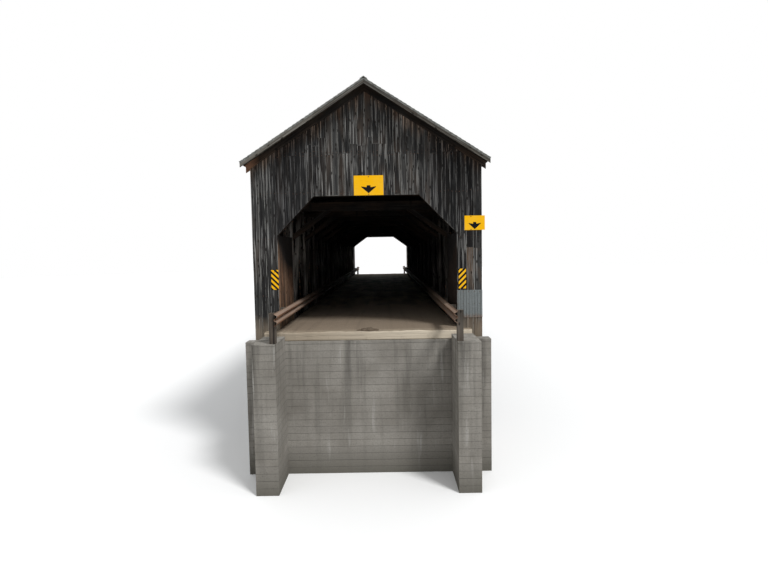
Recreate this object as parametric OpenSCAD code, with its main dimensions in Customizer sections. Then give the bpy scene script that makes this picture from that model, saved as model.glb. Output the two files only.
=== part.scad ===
// Timber covered bridge of the Howe truss type, on two concrete abutments.
// X runs across the road, Y runs along it and Z is up. The near portal faces -Y.
// The origin is on the ground below the middle of the bridge, at the feet of the abutments.

/* [Overall] */
// Length from one portal face to the other
bridge_len = 36000; // [32000:100:36100]
// Clear width of the road between the portal jambs
road_w = 4880; // [4500:10:5300]
// Clear height of the portal opening above the deck
portal_h = 3620; // [3500:10:3800]
// Height of the slanted corners of the portal opening
corner_h = 1040; // [700:10:1200]
// Width of the slanted corners of the portal opening
corner_w = 1010; // [700:10:1200]

/* [Abutments] */
// Height of the bridge seat above the ground
seat_h = 2400; // [1500:50:4000]
// How far the abutments run past the trusses' outer faces
seat_side = 200; // [100:10:400]
// Distance from the first panel point to the front of the abutment
seat_reach = 600; // [500:10:900]
// Height of the coping along the bridge seat
coping_h = 300; // [150:10:500]
// How far the coping stands out from the front
coping_out = 60; // [20:5:150]
// How far the front leans back from its foot to the coping
batter = 150; // [0:10:300]
// Thickness of the back wall at the end of the floor
backwall_t = 400; // [320:10:600]
// Gap from the portal face to the back wall
backwall_gap = 200; // [100:10:400]
// Thickness of the wing walls beside the approach
wing_t = 560; // [450:10:700]
// Length of the wing walls behind the back wall
wing_len = 1300; // [1200:10:1360]
// Depth of the wing wall tops below the deck
wing_drop = 100; // [0:10:200]

/* [Floor] */
// Height of the bed timbers on the bridge seats
bed_h = 300; // [200:10:400]
// Width of the bed timbers
bed_w = 300; // [200:10:340]
// Distance of the first bed timber's middle from the front edge of the bridge seat
bed_inset = 200; // [180:10:260]
// Distance of the second bed timber's middle beyond the last panel point
bed_out = 960; // [800:10:1100]
// Width of the floor beams
floor_beam_w = 200; // [120:10:240]
// Height of the floor beams
floor_beam_h = 400; // [250:10:450]
// Clearance between the last floor beam and the portal posts
floor_beam_gap = 70; // [20:5:150]
// Number of stringers under the deck
stringers = 7; // [5:1:9]
// Width of one stringer
stringer_w = 100; // [60:5:150]
// Height of one stringer
stringer_h = 250; // [150:10:300]
// Distance from the jambs to the outer stringers
stringer_inset = 190; // [60:5:300]
// Thickness of the deck planks
deck_t = 80; // [50:5:120]
// Width of the sill timber that ends the deck
sill_w = 300; // [200:10:320]
// Height of the sill timber
sill_h = 250; // [150:10:300]

/* [Trusses] */
// Number of panels in a truss, an even number
panels = 12; // [10:2:14]
// Length of the bay between a portal face and the first panel point
end_bay = 2400; // [2200:10:2900]
// Height of the tie beams' underside above the portal header
head_room = 360; // [250:10:600]
// Width of one line of chord timbers
line_w = 140; // [100:5:170]
// Gap between the lines, where the rods pass
line_gap = 60; // [50:5:90]
// Height of the bottom chord
bottom_chord_h = 400; // [300:10:500]
// Height of the top chord
top_chord_h = 300; // [220:10:400]
// Depth of the main braces
brace_d = 180; // [120:5:190]
// Depth of the counter braces
counter_d = 150; // [100:5:190]
// Length of the sloping seats on the angle blocks
block_seat = 190; // [190:5:230]
// Width of the flat crest of the angle blocks
block_crest = 40; // [20:5:80]
// Diameter of the iron rods
rod_d = 38; // [25:1:44]
// Width of the plates at the rod ends
rod_plate_w = 150; // [90:5:180]
// Thickness of the plates at the rod ends
rod_plate_t = 25; // [12:1:40]
// Height of the nuts on the rods
nut_h = 35; // [20:1:45]
// Size of the nuts from corner to corner
nut_w = 72; // [56:1:90]
// Length of the rod ends past the nuts
rod_end = 22; // [5:1:40]

/* [Sway Frames] */
// Thickness of the sway posts on the inner faces of the trusses
sway_post_t = 70; // [50:5:110]
// Width of the sway posts along the bridge
sway_post_w = 200; // [160:10:260]
// How far the sway struts' underside lies below the top of the portal opening
strut_drop = 220; // [100:10:360]
// Height of the sway struts
strut_h = 270; // [150:10:300]
// Thickness of the sway struts
strut_t = 150; // [80:10:160]
// How far the knee braces reach in along the struts
knee_reach = 1260; // [800:10:1600]
// How far the knee braces reach down the posts
knee_drop = 910; // [600:10:1100]
// Depth of the knee braces
knee_d = 150; // [80:5:180]
// Thickness of the knee braces
knee_t = 100; // [60:5:140]
// Width of the tie beams on the top chords
tie_w = 200; // [120:10:260]
// Height of the tie beams
tie_h = 200; // [170:10:300]
// Width of the lateral braces
lateral_w = 150; // [80:5:180]
// Height of the lateral braces
lateral_h = 140; // [60:5:150]
// Distance from the jamb line to the ends of the upper lateral braces
lateral_inset = 260; // [180:10:500]
// Distance of the lower lateral braces below the floor beams
lateral_drop = 50; // [20:5:80]

/* [Portal Frames] */
// Width of the portal posts across the road
portal_post_w = 200; // [120:10:230]
// Depth of the portal posts along the road
portal_post_d = 200; // [120:10:240]
// Height of the portal header
header_h = 200; // [120:10:240]
// Depth of the braces behind the slanted corners
corner_brace_d = 120; // [60:5:160]
// Thickness of the board lining on the jambs
lining_t = 25; // [18:1:40]

/* [Walls] */
// Thickness of the wall boards
board_t = 30; // [20:1:40]
// Thickness of the girts that the boards are nailed to
girt_t = 50; // [35:1:80]
// Height of the girts
girt_h = 100; // [60:5:140]
// How far the boards hang below the bottom chord
board_drop = 50; // [0:5:150]
// Distance from the edges of a wall to the middle of its outer girts
girt_edge = 150; // [80:5:200]
// Number of girts up each side wall
side_girts_n = 5; // [3:1:7]
// Number of nailers up each jamb
jamb_nailers_n = 3; // [2:1:5]
// Height of the joint between wall boards and gable boards above the wall plates
joint_rise = 170; // [60:10:300]
// Distance between the two nailers in the gable
gable_nailer_step = 900; // [600:10:1100]

/* [Roof] */
// Pitch of the roof in degrees
roof_pitch = 32.6; // [28:0.1:38]
// Overhang of the eaves past the side walls
eave_out = 150; // [100:5:300]
// Overhang of the roof past the portal faces
verge_out = 450; // [200:10:600]
// Width of the wall plates
wall_plate_w = 150; // [120:5:200]
// Height of the wall plates
wall_plate_h = 200; // [120:10:240]
// Distance from the trusses' outer faces in to the wall plates
wall_plate_inset = 150; // [50:5:200]
// Length of the level seat cut in the rafters
rafter_seat = 100; // [60:5:115]
// Thickness of the rafters
rafter_t = 50; // [38:1:80]
// Depth of the rafters
rafter_d = 150; // [130:5:200]
// Largest spacing of the rafters
rafter_step = 900; // [600:10:1200]
// Height of the end that is left on the sloping tails of the gable rafters
rafter_tail = 30; // [20:5:60]
// Thickness of the roof boards
roof_board_t = 25; // [18:1:40]
// Thickness of the shingle courses
shingle_t = 35; // [20:1:50]
// How far the shingles run past the roof boards at the eaves
drip = 25; // [0:5:50]
// Width of the ridge boards
ridge_w = 120; // [120:5:250]
// Thickness of the ridge boards
ridge_t = 18; // [18:1:40]
// Depth of the rake boards along the verges
rake_d = 80; // [60:5:220]
// Thickness of the rake boards
rake_t = 40; // [20:1:60]

/* [Guard Rails] */
// Distance from the jambs in to the back of the guard rails, which the blocks fill
rail_block_l = 237; // [150:1:350]
// Height of the guard rails' top edge above the deck
rail_top = 650; // [550:5:800]
// Height of the rail section
rail_h = 312; // [250:2:340]
// Depth of the waves in the rail section
rail_d = 83; // [60:1:100]
// Thickness of the rail sheet
rail_t = 5; // [3:0.5:8]
// Length of rail past each portal face
rail_run = 1900; // [1800:5:1940]
// Size of the posts that carry the rails outside
rail_post_w = 150; // [100:5:180]
// How far those posts stand above the rail's top edge
rail_post_up = 0; // [0:5:120]
// Distance from the portal face to the middle of those posts
rail_post_out = 1700; // [1650:5:1740]
// Width of the blocks between the rails and the sway posts
rail_block_w = 150; // [80:5:190]
// Height of those blocks
rail_block_h = 200; // [120:10:260]

/* [Signs And Sheet] */
// Width of the sign plate over the opening
sign_w = 800; // [600:10:1000]
// Height of the sign plate over the opening
sign_h = 530; // [400:10:700]
// Distance of that plate's middle to the right of the opening's middle
sign_x = 70; // [-200:10:200]
// Width of the small sign plate on the right jamb wall
side_sign_w = 550; // [400:10:600]
// Height of the small sign plate
side_sign_h = 390; // [300:10:500]
// Distance from the jamb to the small sign plate
side_sign_x = 215; // [200:5:250]
// Height of the small sign plate's bottom edge above the deck
side_sign_z = 2635; // [2400:5:2900]
// Thickness of the sign plates
sign_t = 4; // [3:0.5:8]
// Width of the striped markers beside the jambs
marker_w = 200; // [150:5:250]
// Height of the striped markers
marker_h = 540; // [400:10:700]
// Height of the left marker's bottom edge above the deck
marker_z = 1100; // [1085:5:1400]
// How much lower the right marker hangs
marker_low = 50; // [0:5:50]
// How far the right marker stands off the edge of the jamb
marker_off = 45; // [0:5:100]
// Height of the ribbed sheet's bottom edge above the deck
sheet_z = 250; // [50:10:400]
// Height of the ribbed sheet's top edge above the deck
sheet_top = 1005; // [700:5:1035]
// Thickness of the ribbed sheet between its ribs
sheet_t = 3; // [2:0.5:6]
// Spacing of the ribs
rib_pitch = 76; // [50:1:120]
// Height of the ribs
rib_h = 16; // [6:1:25]

/* [Hidden] */

// Levels, from the ground up
z_chord = seat_h + bed_h;
z_beams = z_chord + bottom_chord_h;
z_stringers = z_beams + floor_beam_h;
z_planks = z_stringers + stringer_h;
z_deck = z_planks + deck_t;
z_opening = z_deck + portal_h;
z_corner = z_opening - corner_h;
z_strut = z_opening - strut_drop;
z_top = z_opening + header_h + head_room;
z_clear = z_top - top_chord_h;
z_ties = z_top + tie_h;
z_plates = z_ties + wall_plate_h;
z_board_foot = z_chord - board_drop;
z_joint = z_plates + joint_rise;
z_wing = z_deck - wing_drop;

// Faces across the road, from the middle out
x_jamb = road_w / 2;
x_lining = x_jamb + lining_t;
x_truss = x_jamb + sway_post_t;
x_truss_out = x_truss + 3 * line_w + 2 * line_gap;
x_girt = x_truss_out + girt_t;
x_wall = x_girt + board_t;
x_eave = x_wall + eave_out;
x_plate = x_truss_out - wall_plate_inset;
x_abutment = x_truss_out + seat_side;
x_rail_back = x_jamb - rail_block_l;
x_wing = x_rail_back + wing_t;

// Faces along the road, from the middle out
y_face = bridge_len / 2;
y_nailer = y_face - board_t;
y_frame = y_nailer - girt_t;
y_chord_end = y_frame - portal_post_d;
y_point = y_face - end_bay;
y_seat = y_point - seat_reach;
y_backwall = y_face + backwall_gap;
y_wing = y_backwall + backwall_t;
y_verge = y_face + verge_out;

// Half widths of a rib's foot and crest as shares of the ribs' spacing
rib_foot = 0.3;
rib_crest = 0.15;
// How much steeper than a plain sine the waves of a rail rise
wave_steepness = 1.25;

// Clearance between pieces that are cut to fit but kept apart
seat_gap = 0.3;

// Truss geometry
panel = 2 * y_point / panels;
clear_h = z_clear - z_beams;
brace_angle = settle_angle(60, 12);
block_half = block_crest / 2 + block_seat * sin(brace_angle);
block_h = block_seat * cos(brace_angle);
brace_start = block_half - block_seat / 2 * sin(brace_angle);
brace_len = norm([panel - 2 * brace_start, clear_h - block_h]);
rod_ends = rod_plate_t + nut_h + rod_end;
// Panels that a lower lateral brace crosses, and its start in the first of them
lateral_panels = 1.5;
lateral_start = 0.25;

// Roof geometry
slope = tan(roof_pitch);
rafter_v = rafter_d / cos(roof_pitch);
roof_board_v = roof_board_t / cos(roof_pitch);
shingle_v = shingle_t / cos(roof_pitch);
ridge_v = ridge_t / cos(roof_pitch);
rake_v = rake_d / cos(roof_pitch);
z_rafter = z_plates + (x_plate - rafter_seat) * slope;
z_roof_boards = z_rafter + rafter_v;
z_shingles = z_roof_boards + roof_board_v;
z_ridge = z_shingles + shingle_v;

// The braces meet their seats square when this angle has settled
function settle_angle(a, n) = n == 0 ? a : settle_angle(
    atan2(clear_h - block_seat * cos(a), panel - block_crest - block_seat * sin(a)), n - 1);
function span(middle, width) = [middle - width / 2, middle + width / 2];
// Even steps from one value to another
function spread(from, to, count) = [for (i = [0:count - 1]) from + i * (to - from) / (count - 1)];
function point_y(i) = -y_point + i * panel;
function line_x(i) = x_truss + i * (line_w + line_gap);
// Two waves over the height of a rail, steep enough that crests and valleys are flat
function wave(s) = max(0, min(1, 0.5 - wave_steepness / 2 * cos(720 * s)));
// Half the width of a level timber whose top corners touch the roof boards
function gable_half(z) = (z_roof_boards - z) / slope;

// Places of repeated pieces
left_half = [for (i = [0:panels / 2 - 1]) i];
right_half = [for (i = [panels / 2:panels - 1]) i];
floor_beam_y = [for (i = [0:panels - 1], q = [1, 3]) point_y(i) + q * panel / 4];
end_beam_y = [y_point + panel / 4, y_chord_end - floor_beam_gap - floor_beam_w / 2];
bed_y = [y_seat + bed_inset, y_point + bed_out, y_frame - bed_w / 2];
lining_nailer_z = spread(z_deck + girt_edge, z_corner - girt_edge, jamb_nailers_n);
side_girt_z = spread(z_chord + girt_edge, z_top - girt_edge, side_girts_n);
rafter_count = ceil((2 * y_frame - rafter_t) / rafter_step);
rafter_pitch = (2 * y_frame - rafter_t) / rafter_count;

// Helpers
module box(x, y, z) {
    translate([x[0], y[0], z[0]]) cube([x[1] - x[0], y[1] - y[0], z[1] - z[0]]);
}
module both_sides() {
    children();
    mirror([1, 0, 0]) children();
}
module both_ends() {
    children();
    mirror([0, 1, 0]) children();
}
// Extrudes a drawing in X and Z along the road
module lengthwise(y0, y1) {
    translate([0, y1, 0]) rotate([90, 0, 0]) linear_extrude(y1 - y0) children();
}
// Extrudes a drawing in Y and Z across the road
module crosswise(x0, x1) {
    translate([x0, 0, 0]) rotate([90, 0, 90]) linear_extrude(x1 - x0) children();
}
// A slanted timber between an upright face at x and the level underside at z
module knee(x, z, reach, drop, depth) {
    rise = drop / reach;
    upright_cut = depth * norm([1, rise]);
    polygon([[x, z - drop], [x, z - drop + upright_cut],
             [x - reach + upright_cut / rise, z], [x - reach, z]]);
}

// Abutments
module abutment() {
    crosswise(-x_abutment, x_abutment)
        polygon([
            [y_seat - batter, 0], [y_seat, seat_h - coping_h],
            [y_seat - coping_out, seat_h - coping_h], [y_seat - coping_out, seat_h],
            [y_backwall, seat_h], [y_backwall, z_deck - sill_h],
            [y_wing, z_deck - sill_h], [y_wing, 0]
        ]);
    both_sides() box([x_rail_back, x_wing], [y_wing, y_wing + wing_len], [0, z_wing]);
}
module abutment_near() {
    color("#9a968c") mirror([0, 1, 0]) abutment();
}
module abutment_far() {
    color("#9a968c") abutment();
}

module bed_timbers() {
    color("#6f6656") both_ends() for (y = bed_y)
        box([-x_truss_out, x_truss_out], [y - bed_w / 2, y + bed_w / 2], [seat_h, z_chord]);
}

// Trusses
module chord(z0, z1) {
    both_sides() for (i = [0:2])
        box([line_x(i), line_x(i) + line_w], [-y_chord_end, y_chord_end], [z0, z1]);
}
module bottom_chords() {
    color("#6b6152") chord(z_chord, z_beams);
}
module top_chords() {
    color("#655b4d") chord(z_clear, z_top);
}
// One brace from the bottom of panel point i up to the next point toward +Y
module brace(i, line, depth) {
    translate([line_x(line), point_y(i) + brace_start, z_beams + block_h / 2])
        rotate([brace_angle, 0, 0])
            translate([0, 0, -depth / 2]) cube([line_w, brace_len, depth]);
}
module rising(list, lines, depth) {
    for (i = list, line = lines) brace(i, line, depth);
}
module main_braces() {
    both_ends() rising(left_half, [0, 2], brace_d);
}
module main_braces_left() {
    color("#7b7061") mirror([1, 0, 0]) main_braces();
}
module main_braces_right() {
    color("#7b7061") main_braces();
}
module counter_braces() {
    color("#73695b") both_sides() both_ends() rising(right_half, [1], counter_d);
}
module angle_block(i, line, top) {
    flip = top ? -1 : 1;
    translate([0, point_y(i), top ? z_clear : z_beams])
        crosswise(line_x(line), line_x(line) + line_w)
            polygon([[-block_half, 0], [block_half, 0],
                     [block_crest / 2, flip * block_h], [-block_crest / 2, flip * block_h]]);
}
module angle_blocks() {
    color("#5b4c3c") both_sides() for (i = [0:panels]) {
        if (i != panels / 2) for (line = [0, 2]) angle_block(i, line, false);
        if (i > 0 && i < panels) for (line = [0, 2]) angle_block(i, line, true);
        if (i > 0 && i < panels) angle_block(i, 1, false);
        if (i != panels / 2) angle_block(i, 1, true);
    }
}
// A pair of rods with the plates and nuts that clamp both chords
module rod_pair(y) {
    for (i = [0, 1]) translate([line_x(i) + line_w + line_gap / 2, y, 0]) {
        translate([0, 0, z_chord - rod_ends])
            cylinder(d = rod_d, h = z_top - z_chord + 2 * rod_ends, $fn = 24);
        for (z = [z_chord - rod_plate_t - nut_h, z_top + rod_plate_t])
            translate([0, 0, z]) cylinder(d = nut_w, h = nut_h, $fn = 6);
    }
    for (z = [z_chord - rod_plate_t, z_top])
        box([x_truss, x_truss_out], [y - rod_plate_w / 2, y + rod_plate_w / 2], [z, z + rod_plate_t]);
}
module tension_rods() {
    color("#5a3a2a") both_sides() for (i = [0:panels]) rod_pair(point_y(i));
}

// Sway frames and upper bracing
module sway_posts() {
    color("#5f574b") both_sides() for (i = [0:panels])
        box([x_jamb, x_truss], span(point_y(i), sway_post_w), [z_chord, z_top]);
}
module sway_struts() {
    color("#6a6052") for (i = [0:panels])
        box([-x_jamb, x_jamb], span(point_y(i), strut_t),
            [z_strut, z_strut + strut_h]);
}
module knee_braces() {
    color("#746a5b") both_sides() for (i = [0:panels])
        lengthwise(point_y(i) - knee_t / 2, point_y(i) + knee_t / 2)
            knee(x_jamb, z_strut, knee_reach, knee_drop, knee_d);
}
module tie_beams() {
    color("#62594c") {
        for (i = [0:panels - 1])
            box([-x_truss_out, x_truss_out], span(point_y(i + 0.5), tie_w), [z_top, z_ties]);
        both_ends() box([-x_truss_out, x_truss_out], [y_chord_end, y_frame], [z_top, z_ties]);
    }
}
// Upper braces run from tie beam to tie beam, lower ones from chord to chord
module lateral_braces() {
    x_end = x_jamb - lateral_inset;
    run = panel - tie_w;
    cut = lateral_w * norm([2 * x_end, run]) / run / 2;
    low_run = lateral_panels * panel;
    low_cut = lateral_w * norm([2 * x_truss, low_run]) / (2 * x_truss) / 2;
    color("#6d6456") {
        for (i = [0:panels - 2])
            translate([0, point_y(i + 0.5) + tie_w / 2, z_top + (tie_h - lateral_h) / 2])
                mirror([i % 2, 0, 0]) linear_extrude(lateral_h)
                    polygon([[-x_end - cut, 0], [-x_end + cut, 0], [x_end + cut, run], [x_end - cut, run]]);
        for (i = [0:2:panels - 2])
            translate([0, point_y(i + lateral_start), z_beams - lateral_drop - lateral_h])
                mirror([i / 2 % 2, 0, 0]) linear_extrude(lateral_h)
                    polygon([[-x_truss, -low_cut], [-x_truss, low_cut],
                             [x_truss, low_run + low_cut], [x_truss, low_run - low_cut]]);
    }
}

// Floor
module floor_beam(y) {
    box([-x_truss_out, x_truss_out], span(y, floor_beam_w), [z_beams, z_stringers]);
}
module floor_beams() {
    color("#5e5548") {
        for (y = floor_beam_y) floor_beam(y);
        both_ends() for (y = end_beam_y) floor_beam(y);
    }
}
module stringers() {
    first = x_jamb - stringer_inset;
    color("#645a4c") for (x = spread(-first, first, stringers))
        box(span(x, stringer_w), [-y_backwall, y_backwall],
            [z_stringers, z_planks]);
}
module deck() {
    color("#8a7f6c") box([-x_jamb, x_jamb], [-y_backwall, y_backwall], [z_planks, z_deck]);
}
module sill_timbers() {
    color("#b3aa95") both_ends()
        box([-x_wing, x_wing], [y_backwall, y_backwall + sill_w], [z_deck - sill_h, z_deck]);
}

// Portal frames
module portal_posts() {
    color("#5f574b") both_sides() both_ends() {
        box([x_lining, x_lining + portal_post_w], [y_chord_end, y_frame], [z_chord, z_top]);
        box([x_truss_out - portal_post_w, x_truss_out], [y_chord_end, y_frame], [z_chord, z_top]);
    }
}
module portal_headers() {
    rise = corner_h / corner_w;
    color("#6a6052") both_ends() {
        box([-x_lining, x_lining], [y_chord_end, y_frame], [z_opening, z_opening + header_h]);
    }
    color("#6a6052") both_ends() both_sides()
        lengthwise(y_frame - corner_brace_d, y_frame)
            knee(x_lining, z_opening - seat_gap, corner_w + lining_t, corner_h + lining_t * rise,
                 corner_brace_d);
}
// Level timbers that the portal boards and the jamb linings are nailed to
module portal_nailers() {
    color("#6a6052") both_ends() {
        both_sides() for (z = concat([z_chord + girt_edge], lining_nailer_z))
            box([x_lining, x_girt], [y_frame, y_nailer], span(z, girt_h));
        for (z = [z_opening + header_h / 2, z_top + tie_h / 2])
            box([-x_girt, x_girt], [y_frame, y_nailer], span(z, girt_h));
        for (z = [z_joint, z_joint + gable_nailer_step]) {
            half = gable_half(z + girt_h / 2);
            box([-half, half], [y_frame, y_nailer], span(z, girt_h));
        }
        both_sides() for (z = lining_nailer_z)
            box([x_lining, x_truss], [y_point + sway_post_w / 2, y_chord_end], span(z, girt_h));
    }
}
module jamb_linings() {
    color("#7a4a35") both_sides() both_ends()
        box([x_jamb, x_lining], [y_point + sway_post_w / 2, y_nailer],
            [z_stringers, z_corner]);
}

// Walls
module side_girts() {
    color("#5f574b") both_sides() for (z = side_girt_z)
        box([x_truss_out, x_girt], [-y_frame, y_frame], span(z, girt_h));
}
module siding() {
    box([x_girt, x_wall], [-y_nailer, y_nailer], [z_board_foot, z_rafter - x_wall * slope]);
}
module siding_left() {
    color("#565450") mirror([1, 0, 0]) siding();
}
module siding_right() {
    color("#565450") siding();
}
// Outline of a portal wall with its opening
module portal_wall() {
    difference() {
        polygon([[-x_wall, z_board_foot], [x_wall, z_board_foot], [x_wall, z_roof_boards - x_wall * slope],
                 [0, z_roof_boards], [-x_wall, z_roof_boards - x_wall * slope]]);
        polygon([[-x_jamb, z_board_foot - 1], [x_jamb, z_board_foot - 1],
                 [x_jamb, z_corner], [x_jamb - corner_w, z_opening],
                 [corner_w - x_jamb, z_opening], [-x_jamb, z_corner]]);
    }
}
// The boards beside the opening, up to their joint with the gable
module beside_opening() {
    translate([x_jamb - corner_w, z_board_foot - 1])
        square([x_wall - x_jamb + corner_w + 1, z_joint - z_board_foot + 1]);
}
module wall_boards() {
    both_sides() lengthwise(y_nailer, y_face) intersection() {
        portal_wall();
        beside_opening();
    }
}
module gable_boards() {
    lengthwise(y_nailer, y_face) difference() {
        portal_wall();
        beside_opening();
        mirror([1, 0]) beside_opening();
    }
}
module near_wall_boards() {
    color("#55524d") mirror([0, 1, 0]) wall_boards();
}
module near_gable_boards() {
    color("#4d4a46") mirror([0, 1, 0]) gable_boards();
}
module far_wall_boards() {
    color("#55524d") wall_boards();
}
module far_gable_boards() {
    color("#4d4a46") gable_boards();
}

// Roof
module wall_plates() {
    color("#62594c") both_sides()
        box([x_plate - wall_plate_w, x_plate], [-y_frame, y_frame], [z_ties, z_plates]);
}
// One layer of the roof from the ridge down to x_end, drawn in X and Z
module layer(z, thick, x_end) {
    polygon([[0, z], [x_end, z - x_end * slope], [x_end, z - x_end * slope + thick], [0, z + thick]]);
}
module rafters() {
    for (i = [0:rafter_count]) {
        y = -y_frame + rafter_t / 2 + i * rafter_pitch;
        lengthwise(y - rafter_t / 2, y + rafter_t / 2) difference() {
            layer(z_rafter, rafter_v, x_eave - drip);
            translate([x_plate - 2 * wall_plate_w, z_ties]) square([2 * wall_plate_w, wall_plate_h]);
        }
    }
}
// A rafter against the outer face of a portal wall, its tail cut up to the eave
module gable_rafter() {
    x_tip = x_eave - drip;
    z_tip = z_roof_boards - x_tip * slope;
    lengthwise(y_face, y_face + rafter_t)
        polygon([[0, z_rafter], [x_wall, z_rafter - x_wall * slope],
                 [x_tip, z_tip - rafter_tail], [x_tip, z_tip], [0, z_roof_boards]]);
}
module rafter_slope() {
    rafters();
    both_ends() gable_rafter();
}
module rafters_left() {
    color("#6d6355") mirror([1, 0, 0]) rafter_slope();
}
module rafters_right() {
    color("#6d6355") rafter_slope();
}
module roof_boards() {
    lengthwise(-y_verge, y_verge) layer(z_roof_boards, roof_board_v, x_eave);
}
module roof_boards_left() {
    color("#7a6f5f") mirror([1, 0, 0]) roof_boards();
}
module roof_boards_right() {
    color("#7a6f5f") roof_boards();
}
module shingles() {
    lengthwise(-y_verge, y_verge) layer(z_shingles, shingle_v, x_eave + drip);
}
module shingles_left() {
    color("#4b4743") mirror([1, 0, 0]) shingles();
}
module shingles_right() {
    color("#4b4743") shingles();
}
// The same layer on both sides of the ridge, as one fold
module fold(z, thick, x_end) {
    drop = x_end * slope;
    polygon([[0, z], [x_end, z - drop], [x_end, z - drop + thick],
             [0, z + thick], [-x_end, z - drop + thick], [-x_end, z - drop]]);
}
module ridge_boards() {
    color("#5b554d") lengthwise(-y_verge, y_verge) fold(z_ridge, ridge_v, ridge_w * cos(roof_pitch));
}
module rake_boards() {
    color("#59544c") both_ends() lengthwise(y_verge - rake_t, y_verge)
        fold(z_roof_boards - rake_v, rake_v, x_eave);
}

// Guard rails
function rail_front() = [for (s = [0:1 / 40:1]) [s * rail_h, rail_t + (rail_d - rail_t) * wave(s)]];
module guard_rails() {
    front = rail_front();
    back = [for (i = [len(front) - 1:-1:0]) front[i] - [0, rail_t]];
    outline = [for (p = concat(front, back)) [x_rail_back - p[1], z_deck + rail_top - rail_h + p[0]]];
    color("#7a5138") both_sides() lengthwise(-y_face - rail_run, y_face + rail_run) polygon(outline);
}
module rail_blocks() {
    z_mid = z_deck + rail_top - rail_h / 2;
    block_y = concat([for (i = [0:panels]) point_y(i)],
                     [for (s = [-1, 1]) s * (y_frame - portal_post_d / 2)]);
    color("#857a68") both_sides() {
        for (y = block_y)
            box([x_rail_back, x_jamb], span(y, rail_block_w), span(z_mid, rail_block_h));
        both_ends()
            box([x_rail_back, x_rail_back + rail_post_w], span(y_face + rail_post_out, rail_post_w),
                [z_wing, z_deck + rail_top + rail_post_up]);
    }
}

// Signs and sheet on the near portal
module plate(x, w, z, h) {
    box([x, x + w], [-y_face - sign_t, -y_face], [z_deck + z, z_deck + z + h]);
}
module clearance_signs() {
    color("#f2b705") {
        plate(sign_x - sign_w / 2, sign_w, portal_h, sign_h);
        plate(x_jamb + side_sign_x, side_sign_w, side_sign_z, side_sign_h);
    }
}
module hazard_markers() {
    color("#e8b30a") {
        plate(-x_jamb - marker_w, marker_w, marker_z, marker_h);
        plate(x_jamb + marker_off, marker_w, marker_z - marker_low, marker_h);
    }
}
module ribbed_sheet() {
    width = x_wall - x_jamb;
    ribs = floor(width / rib_pitch);
    foot = rib_pitch * rib_foot;
    crest = rib_pitch * rib_crest;
    front = [for (i = [0:ribs - 1], p = [[-foot, sheet_t], [-crest, rib_h], [crest, rib_h], [foot, sheet_t]])
             [(i + 0.5) * width / ribs + p[0], -p[1]]];
    color("#a9b2b5") translate([x_jamb, -y_face, z_deck + sheet_z]) linear_extrude(sheet_top - sheet_z)
        polygon(concat([[width, 0], [0, 0], [0, -sheet_t]], front, [[width, -sheet_t]]));
}

abutment_near();
abutment_far();
bed_timbers();
bottom_chords();
top_chords();
main_braces_left();
main_braces_right();
counter_braces();
angle_blocks();
tension_rods();
sway_posts();
sway_struts();
knee_braces();
tie_beams();
lateral_braces();
floor_beams();
stringers();
deck();
sill_timbers();
portal_posts();
portal_headers();
portal_nailers();
jamb_linings();
side_girts();
siding_left();
siding_right();
near_wall_boards();
near_gable_boards();
far_wall_boards();
far_gable_boards();
wall_plates();
rafters_left();
rafters_right();
roof_boards_left();
roof_boards_right();
shingles_left();
shingles_right();
ridge_boards();
rake_boards();
guard_rails();
rail_blocks();
clearance_signs();
hazard_markers();
ribbed_sheet();
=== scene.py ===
# %% [markdown]
# # A covered timber bridge, dressed board by board
# The bridge comes from its drawing as exact solids: trusses, floor, walls, roof and
# two concrete abutments. This lesson turns the plain solids into weathered boards,
# split shingles, rusty rails and stained concrete. Solids whose shape is already right
# only get a better material. Walls and roof, which really are hundreds of separate
# boards and shingles, are modelled anew, one good board each, and then repeated.

# %% Load the bridge
import bpy
import math
import numpy as np
from mathutils import Matrix, Vector


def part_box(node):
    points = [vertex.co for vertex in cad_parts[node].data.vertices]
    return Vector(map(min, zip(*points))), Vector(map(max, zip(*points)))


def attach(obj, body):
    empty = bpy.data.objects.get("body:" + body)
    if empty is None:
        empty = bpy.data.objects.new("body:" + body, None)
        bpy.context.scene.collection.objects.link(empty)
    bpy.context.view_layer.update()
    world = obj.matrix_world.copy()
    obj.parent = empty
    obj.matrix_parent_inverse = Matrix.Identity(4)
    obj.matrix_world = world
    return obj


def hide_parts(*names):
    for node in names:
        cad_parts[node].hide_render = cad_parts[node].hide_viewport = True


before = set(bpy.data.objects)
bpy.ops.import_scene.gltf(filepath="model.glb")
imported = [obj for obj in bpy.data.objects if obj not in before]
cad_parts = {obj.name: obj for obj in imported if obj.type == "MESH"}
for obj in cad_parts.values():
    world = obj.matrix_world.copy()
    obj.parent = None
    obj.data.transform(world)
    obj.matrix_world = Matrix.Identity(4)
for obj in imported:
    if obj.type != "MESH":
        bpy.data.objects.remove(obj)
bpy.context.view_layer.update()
chance = np.random.default_rng(1883)

# %% [markdown]
# ## The camera
# The photograph was taken from the road, a little to the right of the middle, with a
# fairly wide lens. The camera stands at the same place. Its tilt down and its slight roll
# were found from lines in the photograph that are level or upright on the real bridge.

# %% Place the camera
eye_place = (0.51, -32.57, 5.92)
lens_mm = 25.0
tilt_down = math.radians(3.9)
roll = math.radians(-1.0)
turn_left = math.radians(0.28)

level = Matrix.Rotation(math.radians(90) - tilt_down, 4, "X")
turned = Matrix.Rotation(turn_left, 4, "Z") @ level @ Matrix.Rotation(roll, 4, "Z")
bpy.ops.object.camera_add(location=eye_place, rotation=turned.to_euler())
camera = bpy.context.object
camera.name = "road_camera"
camera.data.lens = lens_mm
camera.data.sensor_width = 36.0
camera.data.clip_end = 1000
bpy.context.scene.camera = camera
print("camera at", eye_place, "with a lens of", lens_mm, "mm")

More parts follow.
